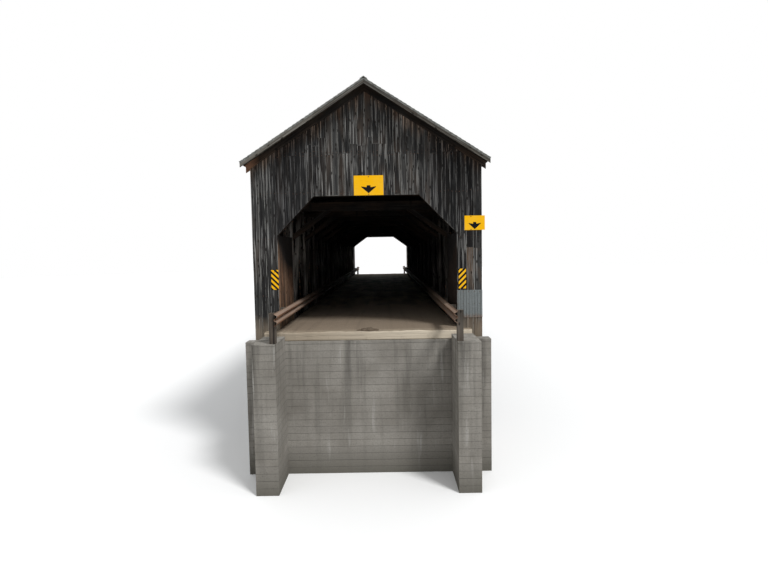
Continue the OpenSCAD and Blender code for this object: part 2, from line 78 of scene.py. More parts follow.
# %% [markdown]
# ## A short way to write nodes
# A material is a small graph of nodes. Clicking it together is fine for one, but this
# bridge needs more than a dozen that share their parts, so a few helpers write the same
# nodes in a line each. A socket knows the graph it belongs to, so most helpers need no
# other hint.

# %% Helpers for nodes


def give(sockets, **values):
    """Fills sockets by name with a link, a number or a colour; n0 is socket number 0."""
    for name, value in values.items():
        socket = sockets[int(name[1:]) if name[1:].isdigit() else name.replace("_", " ")]
        if isinstance(value, bpy.types.NodeSocket):
            socket.id_data.links.new(value, socket)
        elif socket.type == "RGBA":
            socket.default_value = (*value, 1.0)
        else:
            socket.default_value = value


def put(owner, kind, choices=None, **inputs):
    """Adds a node to a material, the world or a group. Choices are the node's own settings."""
    made = getattr(owner, "node_tree", owner).nodes.new("ShaderNode" + kind)
    for name, value in (choices or {}).items():
        setattr(made, name, value)
    give(made.inputs, **inputs)
    return made


def calc(what, first, second=0.0, clamp=False):
    """One Math node, in the graph of its inputs."""
    owner = first if isinstance(first, bpy.types.NodeSocket) else second
    choices = {"operation": what, "use_clamp": clamp}
    return put(owner.id_data, "Math", choices, n0=first, n1=second).outputs[0]


def times(first, second, clamp=False):
    """The product of two values."""
    return calc("MULTIPLY", first, second, clamp)


def plus(first, second, share=None):
    """The first value plus the second, or plus a share of the second."""
    return calc("ADD", first, second if share is None else times(second, share))


def between(value, low, high, start=0.0, end=1.0):
    """Turns a value that runs from low to high into one from start to end, held there."""
    return put(value.id_data, "MapRange", Value=value, From_Min=low, From_Max=high,
               To_Min=start, To_Max=end).outputs[0]


def tint(share, under, over, way="MIX"):
    """One colour laid over another by a share from 0 to 1, with the colour sockets of Mix."""
    choices = {"data_type": "RGBA", "blend_type": way}
    return put(share.id_data, "Mix", choices, n0=share, n6=under, n7=over).outputs[2]


def stretched(vector, scale, turn=(0, 0, 0), place=(0, 0, 0)):
    """A vector scaled, turned and shifted by a Mapping node."""
    return put(vector.id_data, "Mapping", Vector=vector, Scale=scale, Rotation=turn,
               Location=place).outputs[0]


def cloud(vector, scale, detail=3.0, rough=0.55, place=(0, 0, 0)):
    """Noise from 0 to 1, drawn out where three scales are given."""
    if isinstance(scale, tuple):
        vector = stretched(vector, scale, place=place)
        scale = 1.0
    return put(vector.id_data, "TexNoise", Vector=vector, Scale=scale, Detail=detail,
               Roughness=rough).outputs["Fac"]


def parts_of(vector):
    """The x, y and z of a vector."""
    return put(vector.id_data, "SeparateXYZ", Vector=vector).outputs


def size_of(value):
    """A value without its sign."""
    return calc("ABSOLUTE", value)


# %% [markdown]
# Whatever several materials share, such as the look of old wood, becomes a node group
# with named inputs: change the group once and every board follows. The next helpers make
# groups and the materials that use them, and join a finished colour to the shader.

# %% Helpers for groups and materials


def fact(finish, name):
    """The three numbers that a piece carries at each point under a name."""
    return put(finish, "Attribute", {"attribute_name": name}).outputs["Vector"]


def facing_up(finish):
    """How far a surface looks up, from -1 to 1."""
    return parts_of(put(finish, "NewGeometry").outputs["Normal"])[2]


def group_of(name, given, **wanted):
    """A node group with its inputs, whose kind follows from their usual value, and outputs."""
    tree = bpy.data.node_groups.new(name, "ShaderNodeTree")
    for label, value in wanted.items():
        kind = {tuple: "Color", float: "Float"}.get(type(value), "Vector")
        socket = tree.interface.new_socket(
            name=label.replace("_", " "), in_out="INPUT", socket_type="NodeSocket" + kind
        )
        if value is not None:
            socket.default_value = value
    for label in given:
        kind = "Color" if label == "Color" else "Float"
        tree.interface.new_socket(name=label, in_out="OUTPUT", socket_type="NodeSocket" + kind)
    start = tree.nodes.new("NodeGroupInput")
    end = tree.nodes.new("NodeGroupOutput")
    return tree, start.outputs, end.inputs


def use_group(finish, group, **inputs):
    """Puts a group into a material and hands over its outputs."""
    return put(finish, "Group", {"node_tree": group}, **inputs).outputs


def shader_of(finish):
    """The sockets of the shader of a finish."""
    return finish.node_tree.nodes["Principled BSDF"].inputs


def place_on(finish):
    """The Object coordinate, in the graph of a finish."""
    return put(finish, "TexCoord").outputs["Object"]


def new_finish(name, gloss):
    """A material, and the Object coordinate in its graph."""
    finish = bpy.data.materials.new(name)
    finish.use_nodes = True
    give(shader_of(finish), Specular_IOR_Level=gloss)
    return finish, place_on(finish)


def coated(finish, colour, rough, height=None, depth=0.0, metal=0.0):
    """Joins colour, roughness and a height, in shares of depth metres, to the shader."""
    give(shader_of(finish), Base_Color=colour, Roughness=rough, Metallic=metal)
    if height is not None:
        bump = put(finish, "Bump", Height=height, Distance=depth, Strength=1.0)
        give(shader_of(finish), Normal=bump.outputs[0])
    return finish


def repaint(finish, share, colour, way="MIX"):
    """Lays one more colour over a finish that is already made."""
    under = shader_of(finish)["Base Color"].links[0].from_socket
    give(shader_of(finish), Base_Color=tint(share, under, colour, way))


# %% [markdown]
# ## Light, floor and background
# The day was bright but the portal stood in soft light. An even sky does most of the
# work and a wide, weak sun adds direction. The sky lights the bridge at a plain level,
# while the camera sees it as white: the Light Path node tells one from the other, so a
# white background costs no extra light. The floor does the same and keeps the shadow.

# %% Make the light and the floor
sky_strength = 0.7
sun_strength = 2.1
sun_size = math.radians(14)
floor_reach = 160

world = bpy.data.worlds.new("studio_sky")
bpy.context.scene.world = world
world.use_nodes = True
world.node_tree.nodes.clear()
sky_light = put(world, "Background", Color=(0.97, 0.985, 1.0), Strength=sky_strength)
sky_seen = put(world, "Background", Color=(1.0, 1.0, 1.0))
sky_ray = put(world, "LightPath").outputs
seen_share = calc("MAXIMUM", sky_ray["Is Camera Ray"], sky_ray["Is Glossy Ray"])
seen_share = calc("MAXIMUM", seen_share, sky_ray["Is Transmission Ray"])
sky_choice = put(world, "MixShader", n0=seen_share, n1=sky_light.outputs[0],
                 n2=sky_seen.outputs[0])
put(world, "OutputWorld", Surface=sky_choice.outputs[0])

bpy.ops.object.light_add(type="SUN", location=(30, -60, 60))
sun = bpy.context.object
sun.name = "soft_sun"
sun.data.energy = sun_strength
sun.data.angle = sun_size
sun.rotation_euler = Vector((0.50, -0.55, 0.85)).to_track_quat("Z", "Y").to_euler()

bpy.ops.mesh.primitive_circle_add(vertices=96, radius=floor_reach, fill_type="NGON")
floor = bpy.context.object
floor.name = "studio_floor"
floor_finish = new_finish("pale_floor", gloss=0.1)[0]
floor_ray = put(floor_finish, "LightPath").outputs["Is Camera Ray"]
coated(floor_finish, tint(floor_ray, (0.42, 0.41, 0.40), (0.96, 0.96, 0.955)), 0.9)
floor.data.materials.append(floor_finish)
bpy.context.scene.view_settings.view_transform = "Standard"
print("sky", sky_strength, "sun", sun_strength)

# %% [markdown]
# ## The look of old wood
# Bare softwood goes silver-grey and then almost black where it stays damp. Seen close,
# its colour runs in streaks along the grain, with fine fibres, drying cracks, pale
# slivers and dark knots. One noise texture can't do that: here six are stretched along
# the board by different amounts. The group takes a grain vector, with x across the
# board, y along it and z into it, in metres, so the same wood fits a post, a plank or a
# slanted brace. Edge says how near a point is to the board's edges, which wear pale.

# %% Build the wood group
old_wood, start, end = group_of(
    "old_wood", ("Color", "Roughness", "Height"), Grain=None, Tone=0.5, Edge=0.0,
    Edge_Wear=0.6, Dark=(0.02, 0.02, 0.02, 1.0), Pale=(0.09, 0.09, 0.085, 1.0),
    Warm=(0.10, 0.06, 0.035, 1.0), Warmth=0.2,
)
grain = start["Grain"]
fibres = cloud(grain, (95, 2.2, 95), 5.0, 0.62)
streaks = cloud(grain, (40, 0.17, 40), 4.0)
patches = cloud(grain, (2.6, 0.9, 2.6), 3.0, 0.5)
split = between(cloud(grain, (50, 0.7, 50), 2.0, 0.45), 0.59, 0.65)
knot_cells = put(old_wood, "TexVoronoi", {"voronoi_dimensions": "2D"},
                 Vector=stretched(grain, (5.2, 2.6, 0)), Scale=1.0).outputs["Distance"]
knot = between(plus(knot_cells, fibres, 0.10), 0.12, 0.19, 1.0, 0.0)
mix_share = plus(plus(times(streaks, 2.1), start["Tone"]), fibres, 0.9)
pale_share = calc("POWER", between(mix_share, 1.35, 2.7), 1.9)
wood = tint(pale_share, start["Dark"], start["Pale"])
warm_share = times(between(patches, 0.42, 0.68), start["Warmth"], clamp=True)
wood = tint(warm_share, wood, start["Warm"])
ragged = plus(size_of(start["Edge"]), streaks, 0.15)
broken = cloud(grain, (0.9, 1.3, 0.9), 2.0, place=(4, 7, 2))
worn = times(between(ragged, 0.90, 0.98), start["Edge Wear"])
worn = times(worn, between(broken, 0.42, 0.54), clamp=True)
wood = tint(worn, wood, (0.235, 0.231, 0.218))
slivers = cloud(grain, (38, 0.9, 38), 3.0, 0.5, place=(9, 3, 6))
sliver = times(between(slivers, 0.57, 0.64), start["Edge Wear"])
wood = tint(times(sliver, 0.65, clamp=True), wood, (0.37, 0.365, 0.35))
wood = tint(times(split, 0.85), wood, (0.006, 0.005, 0.005))
wood = tint(times(knot, 0.85), wood, (0.010, 0.008, 0.006))
height = plus(plus(times(fibres, 0.45), streaks, 0.4), split, -0.8)
give(end, Color=wood, Roughness=between(fibres, 0.2, 0.8, 0.94, 0.78),
     Height=plus(height, knot, 0.25))
print("wood group with", len(old_wood.nodes), "nodes")

# %% [markdown]
# ## Wood on modelled boards
# A board that is its own piece of mesh can carry its own facts. Each one gets three
# attributes: grain, its place across and along the board in metres; marks, which holds
# the place between its edges, a tone and a warmth of its own; and ends, how far its foot
# and its head are. The material reads them with Attribute nodes, so no two boards are
# alike, the grain always runs true, and a cut foot can fray to a pale line here and there.

# %% Finishes for the boards
portal_wall = (17.90, 17.95)
low_feet = (5.0, 5.1)
feet_over_opening = (7.50, 7.60)


def on_portal(along):
    """1 on the portal walls and 0 between them, from the place along the bridge."""
    return between(size_of(along), *portal_wall)


def board_finish(name, dark, pale, warm, edge_wear, depth=0.004, damp_foot=None,
                 road_dust=None):
    """A wood material for pieces that carry the grain, marks and ends attributes."""
    finish, here = new_finish(name, gloss=0.2)
    grain = fact(finish, "grain")
    edge, tone, warmth = parts_of(fact(finish, "marks"))
    wood = use_group(finish, old_wood, Grain=grain, Edge=edge, Tone=tone, Warmth=warmth,
                     Edge_Wear=edge_wear, Dark=dark, Pale=pale, Warm=warm)
    along, up = parts_of(here)[1:]
    foot = plus(parts_of(fact(finish, "ends"))[0], cloud(grain, 24.0), -0.05)
    frayed = times(between(foot, -0.014, 0.000, 0.9, 0.0), edge_wear)
    patchy = between(cloud(grain, 3.1), 0.50, 0.58)
    patchy = calc("MAXIMUM", patchy, between(up, *low_feet, 1.0, 0.08))
    frayed = times(times(frayed, patchy), between(up, *feet_over_opening, 1.0, 0.5))
    colour = tint(frayed, wood["Color"], (0.15, 0.145, 0.135))
    if road_dust:
        splash = plus(up, cloud(here, 3.0, 4.0), -0.5)
        splash = between(splash, road_dust - 0.35, road_dust + 0.15, 0.75, 0.0)
        colour = tint(times(splash, on_portal(along)), colour, (0.24, 0.195, 0.145))
    if damp_foot:
        damp = between(plus(up, cloud(here, 1.7), -0.9), *damp_foot, 0.75, 0.0)
        colour = tint(damp, colour, (0.045, 0.042, 0.028))
    return coated(finish, colour, wood["Roughness"], wood["Height"], depth)


wall_finish = board_finish(
    "weathered_wall_boards", dark=(0.0055, 0.0057, 0.0063), pale=(0.072, 0.072, 0.070),
    warm=(0.100, 0.070, 0.050), edge_wear=0.95, damp_foot=(2.1, 3.2), road_dust=3.85,
)
print("made", wall_finish.name)

# %% [markdown]
# ## One board, many copies
# The walls are vertical boards, about 20 cm wide and nailed edge to edge. Modelling each
# by hand would take days, and one grooved slab would show no light between boards and no
# loose ends. So one board is modelled: a cube with rounded long edges, cut into rings.
# Blender's tools work on what is selected, so the first helpers select parts of a piece.

# %% Helpers that model a board


def only(piece):
    """Selects one object and nothing else."""
    bpy.ops.object.select_all(action="DESELECT")
    piece.select_set(True)
    bpy.context.view_layer.objects.active = piece


def edit(piece, kind="VERT", action="SELECT"):
    """Opens one object in edit mode with all of its points, edges or faces selected."""
    only(piece)
    bpy.ops.object.mode_set(mode="EDIT")
    bpy.ops.mesh.select_mode(type=kind)
    bpy.ops.mesh.select_all(action=action)


def leave():
    """Leaves edit mode."""
    bpy.ops.object.mode_set(mode="OBJECT")


def pick(piece, kind, wanted):
    """Opens one object in edit mode with only those parts selected that pass a test."""
    edit(piece, kind, "DESELECT")
    leave()
    parts = {"VERT": "vertices", "EDGE": "edges", "FACE": "polygons"}[kind]
    for part in getattr(piece.data, parts):
        part.select = wanted(part)
    bpy.ops.object.mode_set(mode="EDIT")


def pick_edges(piece, axis):
    """Opens one object in edit mode with the edges selected that run along one axis."""
    points = piece.data.vertices

    def runs_along(edge):
        run = points[edge.vertices[1]].co - points[edge.vertices[0]].co
        return abs(run[axis]) > 0.99 * run.length

    pick(piece, "EDGE", runs_along)


def settled(name):
    """Names the new primitive and moves its place and size into its mesh."""
    piece = bpy.context.object
    piece.name = name
    piece.data.name = name
    bpy.ops.object.transform_apply(location=True, rotation=True, scale=True)
    return piece


def model_board(name, width, thickness, rings, rounding, columns=0):
    """A board 1 m long, standing up along z, its face towards -y, ready to be copied."""
    bpy.ops.object.select_all(action="DESELECT")
    bpy.ops.mesh.primitive_cube_add(size=1, location=(0, thickness / 2, 0.5))
    bpy.context.object.scale = (width, thickness, 1)
    board = settled(name)
    if columns:
        pick_edges(board, 0)
        bpy.ops.mesh.subdivide(number_cuts=columns)
        leave()
    if rounding:
        pick_edges(board, 2)
        bpy.ops.mesh.bevel(offset=rounding, segments=1, affect="EDGES")
        leave()
    if rings:
        pick_edges(board, 2)
        bpy.ops.mesh.subdivide(number_cuts=rings)
        leave()
    return board


# %% [markdown]
# An Array modifier repeats the board. Then each copy is stretched between the four
# corners of its own place, so that a slanted end is only a matter of where two corners
# are. Chance gives every board its own looseness, tone and warmth.

# %% Helpers that lay its copies


def repeated(small, count):
    """The part repeated by an applied Array; the copies' points follow one another."""
    only(small)
    once = len(small.data.vertices)
    array = small.modifiers.new("many", "ARRAY")
    array.count = count
    array.use_relative_offset = False
    array.use_constant_offset = True
    array.constant_offset_displace = (1, 0, 0)
    bpy.ops.object.modifier_apply(modifier="many")
    points = np.empty(len(small.data.vertices) * 3)
    small.data.vertices.foreach_get("co", points)
    points = points.reshape(count, once, 3)
    points[:, :, 0] -= np.arange(count)[:, None]
    return points


def face_outwards(piece):
    """Turns all faces of closed shells outwards."""
    edit(piece)
    bpy.ops.mesh.normals_make_consistent(inside=False)
    leave()


def dress(piece, finish, slot, nodes=()):
    """The closing steps of a piece: material, body, and hiding the solids it stands for; slot
    is not used.
    """
    piece.data.materials.clear()
    piece.data.materials.append(finish)
    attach(piece, "root")
    if nodes:
        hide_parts(*nodes)
    triangles = sum(len(face.vertices) - 2 for face in piece.data.polygons)
    print(piece.name, "has", triangles, "triangles")


def lay(board, dressing, corners, into, loose, gap, warmths, wear=None, cup=0.0, chosen=(),
        tones=(0.0, 1.0), pairs=()):
    """Stretches copies of a board between corners: foot left and right, head left and right.

    The corners lie on the boards' faces, and into points from the face to the back. Chosen
    holds the number, tone and warmth of boards that aren't left to chance. Pairs holds the
    numbers of two boards of which the first takes after the second."""
    corners = np.array(corners, float)
    count = len(corners)
    into = np.broadcast_to(np.asarray(into, float), (count, 3))
    shape = repeated(board, count)
    low = shape[0].min(0)
    high = shape[0].max(0)
    across = (shape[..., 0] - low[0]) / (high[0] - low[0])
    along = (shape[..., 2] - low[2]) / (high[2] - low[2])
    deep = shape[..., 1]
    width = np.linalg.norm(corners[:, 1] - corners[:, 0], axis=1)[:, None]
    length = np.linalg.norm(corners[:, 2] - corners[:, 0], axis=1)[:, None]
    inset = gap / 2 / width
    held = inset + across * (1 - 2 * inset)
    shares = ((1 - held) * (1 - along), held * (1 - along), (1 - held) * along, held * along)
    place = sum(share[..., None] * corners[:, None, i] for i, share in enumerate(shares))
    side = 2 * across - 1
    sunk = chance.uniform(0, loose, (count, 1))
    sunk = sunk + np.abs(chance.uniform(-loose / 2, loose / 2, (count, 1)) * (1 - side))
    hollow = cup * chance.uniform(0, 1, (count, 1)) * (1 - side ** 2)
    if wear is not None:
        hollow = hollow + wear(place, side)
    sunk = sunk + hollow * (1 - deep / high[1])
    place = place + (deep + sunk)[..., None] * into[:, None]
    board.data.vertices.foreach_set("co", place.ravel())
    grain = np.stack([across * width, along * length, deep], axis=-1)
    grain = grain + chance.uniform(0, 40, (count, 1, 3))
    marks = np.empty_like(grain)
    marks[..., 0] = side
    marks[..., 1] = chance.uniform(*tones, (count, 1))
    marks[..., 2] = chance.choice(warmths, (count, 1))
    for number, tone, warmth in chosen:
        marks[number, :, 1:] = (tone, warmth)
    for number, other in pairs:
        marks[number, :, 1] = 0.3 * marks[number, :, 1] + 0.7 * marks[other, :, 1]
        marks[number, :, 2] = marks[other, :, 2]
    ends = np.stack([along * length, (1 - along) * length, np.zeros_like(along)], axis=-1)
    for name, values in (("grain", grain), ("marks", marks), ("ends", ends)):
        numbers = board.data.attributes.new(name, "FLOAT_VECTOR", "POINT")
        numbers.data.foreach_set("vector", values.ravel())
    face_outwards(board)
    dress(board, *dressing)


# %% [markdown]
# ## The portal boards
# Each portal is a wall with a wide opening whose upper corners are cut off. Its boards
# hang from the gable down: long ones beside the opening, short ones over it, and a
# second tier under the roof that meets the first in a ragged line of butt joints. Every
# board end follows a line of the drawing, the roof slope or the edge of the opening, so
# the ends are worked out from those lines. A board of the second tier takes after the one
# below it, since both have weathered alike. On the near portal the outer boards on the
# right were once cut off at eye level and replaced by browner ones. The far portal is the
# same recipe turned round.

# %% Lay the portal boards
opening_side = 2.44
opening_shoulder = 1.43
opening_top = 7.45
opening_corner = 6.41
shade_side = 1.6
patch_side = 2.6
patch_head = 5.99
patch_edges = (opening_side, 2.565, 2.69, 2.90, 3.13)
board_width = 0.2
board_thick = 0.022
butt_gap = 0.005
wall_low, wall_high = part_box("near_wall_boards")
eave_low, eave_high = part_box("shingles_right")
roof_slope = (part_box("roof_boards_right")[1].z - eave_low.z) / eave_high.x
roof_angle = math.atan(roof_slope)
roof_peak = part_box("near_gable_boards")[1].z
portal_y = -wall_low.y
wall_side = wall_high.x
joint_height = wall_high.z
print("roof angle", math.degrees(roof_angle), "joint of the boards at", joint_height)


def shared_widths(start, end, count, spread=0.18):
    """The two edges of each board from start to end, of uneven widths."""
    widths = 1 + chance.uniform(-spread, spread, count)
    edges = start + np.concatenate([[0], np.cumsum(widths)]) / widths.sum() * (end - start)
    return list(zip(edges[:-1], edges[1:]))


def under_roof(x):
    """Height of the roof boards' underside over the portal."""
    return roof_peak - roof_slope * abs(x) - 0.004


def opening_edge(x):
    """Height of the opening's upper edge."""
    rise = (opening_top - opening_corner) / (opening_side - opening_shoulder)
    return opening_top - rise * max(0, abs(x) - opening_shoulder)


def portal_boards(name, facing, nodes):
    """All boards of one portal; facing is -1 for the near one and 1 for the far one."""
    corners = []
    chosen = []
    pairs = []

    def board_between(left, right, foot, head):
        y = facing * portal_y
        corners.append([(left, y, foot[0]), (right, y, foot[1]),
                        (left, y, head[0]), (right, y, head[1])])

    for start, end, count in (
        (-wall_side, -opening_side, 4), (-opening_side, -opening_shoulder, 6),
        (-opening_shoulder, opening_shoulder, 16), (opening_shoulder, opening_side, 6),
        (opening_side, wall_side, 4),
    ):
        edges = shared_widths(start, end, count)
        if facing < 0 and start == opening_side:
            edges = zip(patch_edges[:-1], patch_edges[1:])
        for left, right in edges:
            patched = facing < 0 and left > patch_side
            foot = [opening_edge(left), opening_edge(right)]
            if max(abs(left), abs(right)) > opening_side + 0.01:
                foot = [wall_low.z + max(0, chance.normal(0.01, 0.01))] * 2
            joint = joint_height + chance.choice([-0.04, 0.0, 0.03, 0.20, 0.24, 0.42])
            head = [under_roof(left), under_roof(right)]
            if min(head) > joint + 0.1:
                board_between(left, right, [joint] * 2, head)
                head = [joint - butt_gap] * 2
                pairs.append((len(corners) - 1, len(corners) + patched))
            # Near-portal boards right of shade_side get a lower tone: a painted shade.
            if facing < 0 and left > shade_side:
                chosen.append((len(corners) + patched, chance.uniform(-0.3, 0.5), 0.1))
            if patched:
                cut = patch_head + chance.uniform(-0.02, 0.02)
                chosen.append((len(corners), chance.uniform(0.75, 0.95), 1.6))
                board_between(left, right, foot, [cut] * 2)
                foot = [cut + butt_gap] * 2
            board_between(left, right, foot, head)
    board = model_board(name, board_width, board_thick, rings=7, rounding=0.003)
    lay(board, (wall_finish, "boards", nodes), corners, (0, -facing, 0), loose=0.006,
        gap=0.010, warmths=(0.05, 0.05, 0.1, 0.1, 0.2, 0.3, 0.4), chosen=chosen,
        tones=(0.2, 0.8), pairs=pairs)


portal_boards("portal_boards_near", -1, ("near_wall_boards", "near_gable_boards"))
portal_boards("portal_boards_far", 1, ("far_wall_boards", "far_gable_boards"))

# %% [markdown]
# A wall weathers by what it meets. Under the gables little rain reaches the boards, and
# they stay brown. The boards over the cut corners of the opening get a painted shade, deeper
# on the left, and the inner faces of the side walls a painted shade too. Each of these is
# one more colour laid over the finish that is already there, where a place on the wall says
# so.

# %% Weather the walls
here = place_on(wall_finish)
across, along, up = parts_of(here)
below = calc("SUBTRACT", roof_peak, times(size_of(across), roof_slope))
below = plus(plus(below, up, -1.0), cloud(here, (6.5, 6.5, 0.8)), 1.6)
under_gable = times(between(below, 0.75, 1.30, 0.9, 0.0), on_portal(along))
repaint(wall_finish, under_gable, (2.1, 1.45, 1.05), "MULTIPLY")
uneven = cloud(here, (7.0, 7.0, 0.7))
# Painted shade over the cut corners of the opening, full on the left and 0.6 of it on the
# right.
corner_shade = times(between(plus(size_of(across), uneven, 0.6), 1.55, 2.05),
               between(across, -2.65, -2.45))
corner_shade = times(corner_shade, between(plus(up, uneven), 6.3, 7.0))
corner_shade = times(times(corner_shade, on_portal(along)), between(across, -1.0, 1.0, 1.0, 0.6))
repaint(wall_finish, corner_shade, (0.50, 0.50, 0.52), "MULTIPLY")
# Painted shade on the inner faces of the side walls.
inner = between(size_of(across), wall_side - 0.026, wall_side - 0.018, 1.0, 0.0)
inner = times(inner, calc("SUBTRACT", 1.0, on_portal(along)))
repaint(wall_finish, inner, (0.30, 0.28, 0.27), "MULTIPLY")
print("walls weathered with", len(wall_finish.node_tree.nodes), "nodes")

# %% [markdown]
# ## The side walls
# The long walls carry the same boards, well over a hundred a side, from under the eaves
# to just below the bottom chord, where their feet are cut unevenly.

# %% Board the side walls
side_board_width = 0.19


def standing(x, start, end, foot, head):
    """The corners of an upright board that lies along the bridge."""
    return [(x, start, foot), (x, end, foot), (x, start, head), (x, end, head)]


for name, side, node in (
    ("wall_boards_left", -1, "siding_left"), ("wall_boards_right", 1, "siding_right")
):
    low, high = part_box(node)
    x = side * max(abs(low.x), abs(high.x))
    count = round((high.y - low.y) / side_board_width)
    corners = []
    for start, end in shared_widths(low.y, high.y, count, 0.2):
        foot = low.z + max(0, chance.normal(0.012, 0.012))
        corners.append(standing(x, start, end, foot, high.z))
    board = model_board(name, board_width, board_thick, rings=6, rounding=0.003)
    lay(board, (wall_finish, "boards", (node,)), corners, (-side, 0, 0), loose=0.006,
        gap=0.0005, warmths=(0.05, 0.1, 0.1, 0.2, 0.3, 0.5))

# %% [markdown]
# ## The shingled roof
# Split shingles lie in courses, each course covering two thirds of the one below, so the
# roof is three shingles thick everywhere. Their widths, and the line of their lower ends,
# are uneven. There are thousands, so the one that is copied is small: a wedge, thick at
# its lower end, with a line down its middle so that it can cup as dry shingles do. A
# short course lies under the lowest one.

# %% Shingle both slopes
shingle_finish = board_finish(
    "grey_split_shingles", dark=(0.045, 0.042, 0.038), pale=(0.36, 0.335, 0.29),
    warm=(0.17, 0.125, 0.085), edge_wear=0.15, depth=0.003,
)
gable_face = -eave_low.y - 0.012
shingle_length = 0.40
starter_length = 0.22
shingle_lift = 0.033
starter_lift = 0.0145
shingle_tip = 0.004
first_foot = 0.026
courses = 30


def bleach_roof_edge(finish):
    """Bleaches the ends of a finish that face out over a portal, where the rain beats in."""
    here = place_on(finish)
    outer = between(size_of(parts_of(here)[1]), gable_face - 0.01, gable_face)
    uneven = cloud(here, 9.0, 4.0, 0.6)
    repaint(finish, times(outer, between(uneven, 0.30, 0.60, 0.15, 0.9)), (0.25, 0.26, 0.245))


bleach_roof_edge(shingle_finish)


def roof_point(side, up_slope, y, height):
    """A point over the roof boards: metres up the slope, along the bridge, and above."""
    x = eave_high.x - up_slope * math.cos(roof_angle) + height * math.sin(roof_angle)
    z = eave_low.z + up_slope * math.sin(roof_angle) + height * math.cos(roof_angle)
    return side * x, y, z


def into_roof(side):
    """The direction down into one slope of the roof."""
    return -side * math.sin(roof_angle), 0, -math.cos(roof_angle)


def model_shingle(name):
    """A wedge 1 m long before it is laid, 12 mm thick at the foot and 3 mm at the head."""
    shingle = model_board(name, 0.16, 0.012, rings=0, rounding=0, columns=1)
    pick(shingle, "VERT", lambda point: point.co.z > 0.5 and point.co.y > 0.006)
    bpy.ops.transform.translate(value=(0, -0.009, 0))
    leave()
    return shingle


for name, side, node in (
    ("shingles_split_left", -1, "shingles_left"), ("shingles_split_right", 1, "shingles_right")
):
    low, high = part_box(node)
    slope_length = (high.x - low.x) / math.cos(roof_angle)
    exposure = (slope_length - first_foot) / courses
    corners = []
    for course in range(-1, courses):
        foot = first_foot + max(0, course) * exposure
        length = starter_length if course < 0 else shingle_length
        lift = starter_lift if course < 0 else shingle_lift
        length = min(length, slope_length - 0.012 - foot)
        tip = lift - (lift - shingle_tip) * length / shingle_length
        edges = low.y + np.concatenate([[0], np.cumsum(chance.uniform(0.10, 0.25, 260))])
        edges = np.append(edges[edges < high.y - 0.06], high.y)
        for start, end in zip(edges[:-1], edges[1:]):
            ragged = foot if course <= 0 else foot + chance.uniform(-0.007, 0.007)
            raised = chance.uniform(-0.002, 0.002) if course > 0 else 0
            corners.append([
                roof_point(side, up_slope, y, height)
                for up_slope, height in ((ragged, lift), (ragged + length, tip + raised))
                for y in (start, end)
            ])
    lay(model_shingle(name), (shingle_finish, "shingles", (node,)), corners, into_roof(side),
        loose=0.002, gap=0.005, warmths=(0.1, 0.2, 0.4, 0.8), cup=0.003)
    print(len(corners), "shingles on", name)

# %% [markdown]
# ## Ridge and rake boards
# Two narrow boards close the ridge, and a low board, bleached by the weather, closes each
# sloping edge of the roof. They come in lengths that a person can carry, with butt joints.

# %% Lay the ridge and rake boards
trim_finish = board_finish(
    "grey_roof_trim", dark=(0.022, 0.020, 0.017), pale=(0.150, 0.138, 0.115),
    warm=(0.11, 0.085, 0.065), edge_wear=0.4,
)

low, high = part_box("ridge_boards")
edge = high.z - high.x * roof_slope
corners = []
into = []
for side in (-1, 1):
    for start, end in shared_widths(low.y, high.y, 10 + side, 0.1):
        corners.append([
            (x, y, z) for y in (start, end) for x, z in ((0, high.z), (side * high.x, edge))
        ])
        into.append(into_roof(side))
board = model_board("ridge_boards_weathered", 0.18, board_thick, rings=5, rounding=0.002)
lay(board, (shingle_finish, "boards", ("ridge_boards",)), corners, into, loose=0.002,
    gap=0.004, warmths=(0.1, 0.3))

low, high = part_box("rake_boards")
depth = high.z - roof_slope * high.x - low.z
corners = []
into = []
for facing in (-1, 1):
    for side in (-1, 1):
        butt = chance.uniform(1.3, 1.9)
        for ends in ((high.x, butt), (butt, 0.002)):
            corners.append([
                (side * x, facing * high.y, high.z - roof_slope * x - down)
                for x in ends for down in (depth, 0)
            ])
            into.append((0, -facing, 0))
board = model_board("rake_boards_weathered", 0.16, 0.036, rings=6, rounding=0.004)
near_tones = ((0, 1.1, 0.1), (1, 0.7, 0.2), (2, 0.6, 0.2), (3, 0.5, 0.4))
lay(board, (trim_finish, "boards", ("rake_boards",)), corners, into, loose=0.002,
    gap=0.003, warmths=(0.2, 0.5, 0.9), chosen=near_tones)

# %% [markdown]
# ## Deck and sill
# The deck is planks laid crosswise. Traffic has worn two tracks into them and carried
# earth in from the road, thickest near the portals. The worn tracks are real shape, made
# by sinking points of the planks' top. The earth is a material: a dry brown dust that
# covers the wood where a noise is high and, near the portals, nearly everywhere.

# %% Plank the deck
track_place = 0.85
track_width = 0.42
track_depth = 0.006


def dusty_finish(name, dark, pale, dust, bare_from, depth=0.004):
    """Worn wood under earth that thins out towards the middle of the bridge."""
    finish = board_finish(name, dark, pale, (0.10, 0.07, 0.045), edge_wear=0.2, depth=depth)
    here = place_on(finish)
    near_portal = between(size_of(parts_of(here)[1]), bare_from, 17.6, 0.0, 0.5)
    drift = cloud(here, (1.6, 0.5, 1), 6.0, 0.65)
    specks = cloud(here, 60.0, 3.0, 0.6)
    tracks = cloud(here, (5.5, 0.12, 1), 3.0, 0.5)
    damp_dust = tuple(0.62 * part for part in dust)
    earth = tint(between(specks, 0.35, 0.75), damp_dust, dust)
    earth = tint(between(tracks, 0.5, 0.72, 0.0, 0.22), earth, (0.09, 0.07, 0.055))
    repaint(finish, between(plus(drift, near_portal), 0.46, 0.78), earth)
    return finish


def track_wear(place, side):
    """How far traffic has worn the planks, in metres."""
    track = np.exp(-(((np.abs(place[..., 0]) - track_place) / track_width) ** 2))
    uneven = 0.6 + 0.4 * np.sin(place[..., 0] * 7.3 + place[..., 1] * 2.9)
    return track_depth * track * uneven


def lying(height, left, right, start, end):
    """The corners of a plank that lies across the bridge."""
    return [(x, y, height) for x in (left, right) for y in (start, end)]


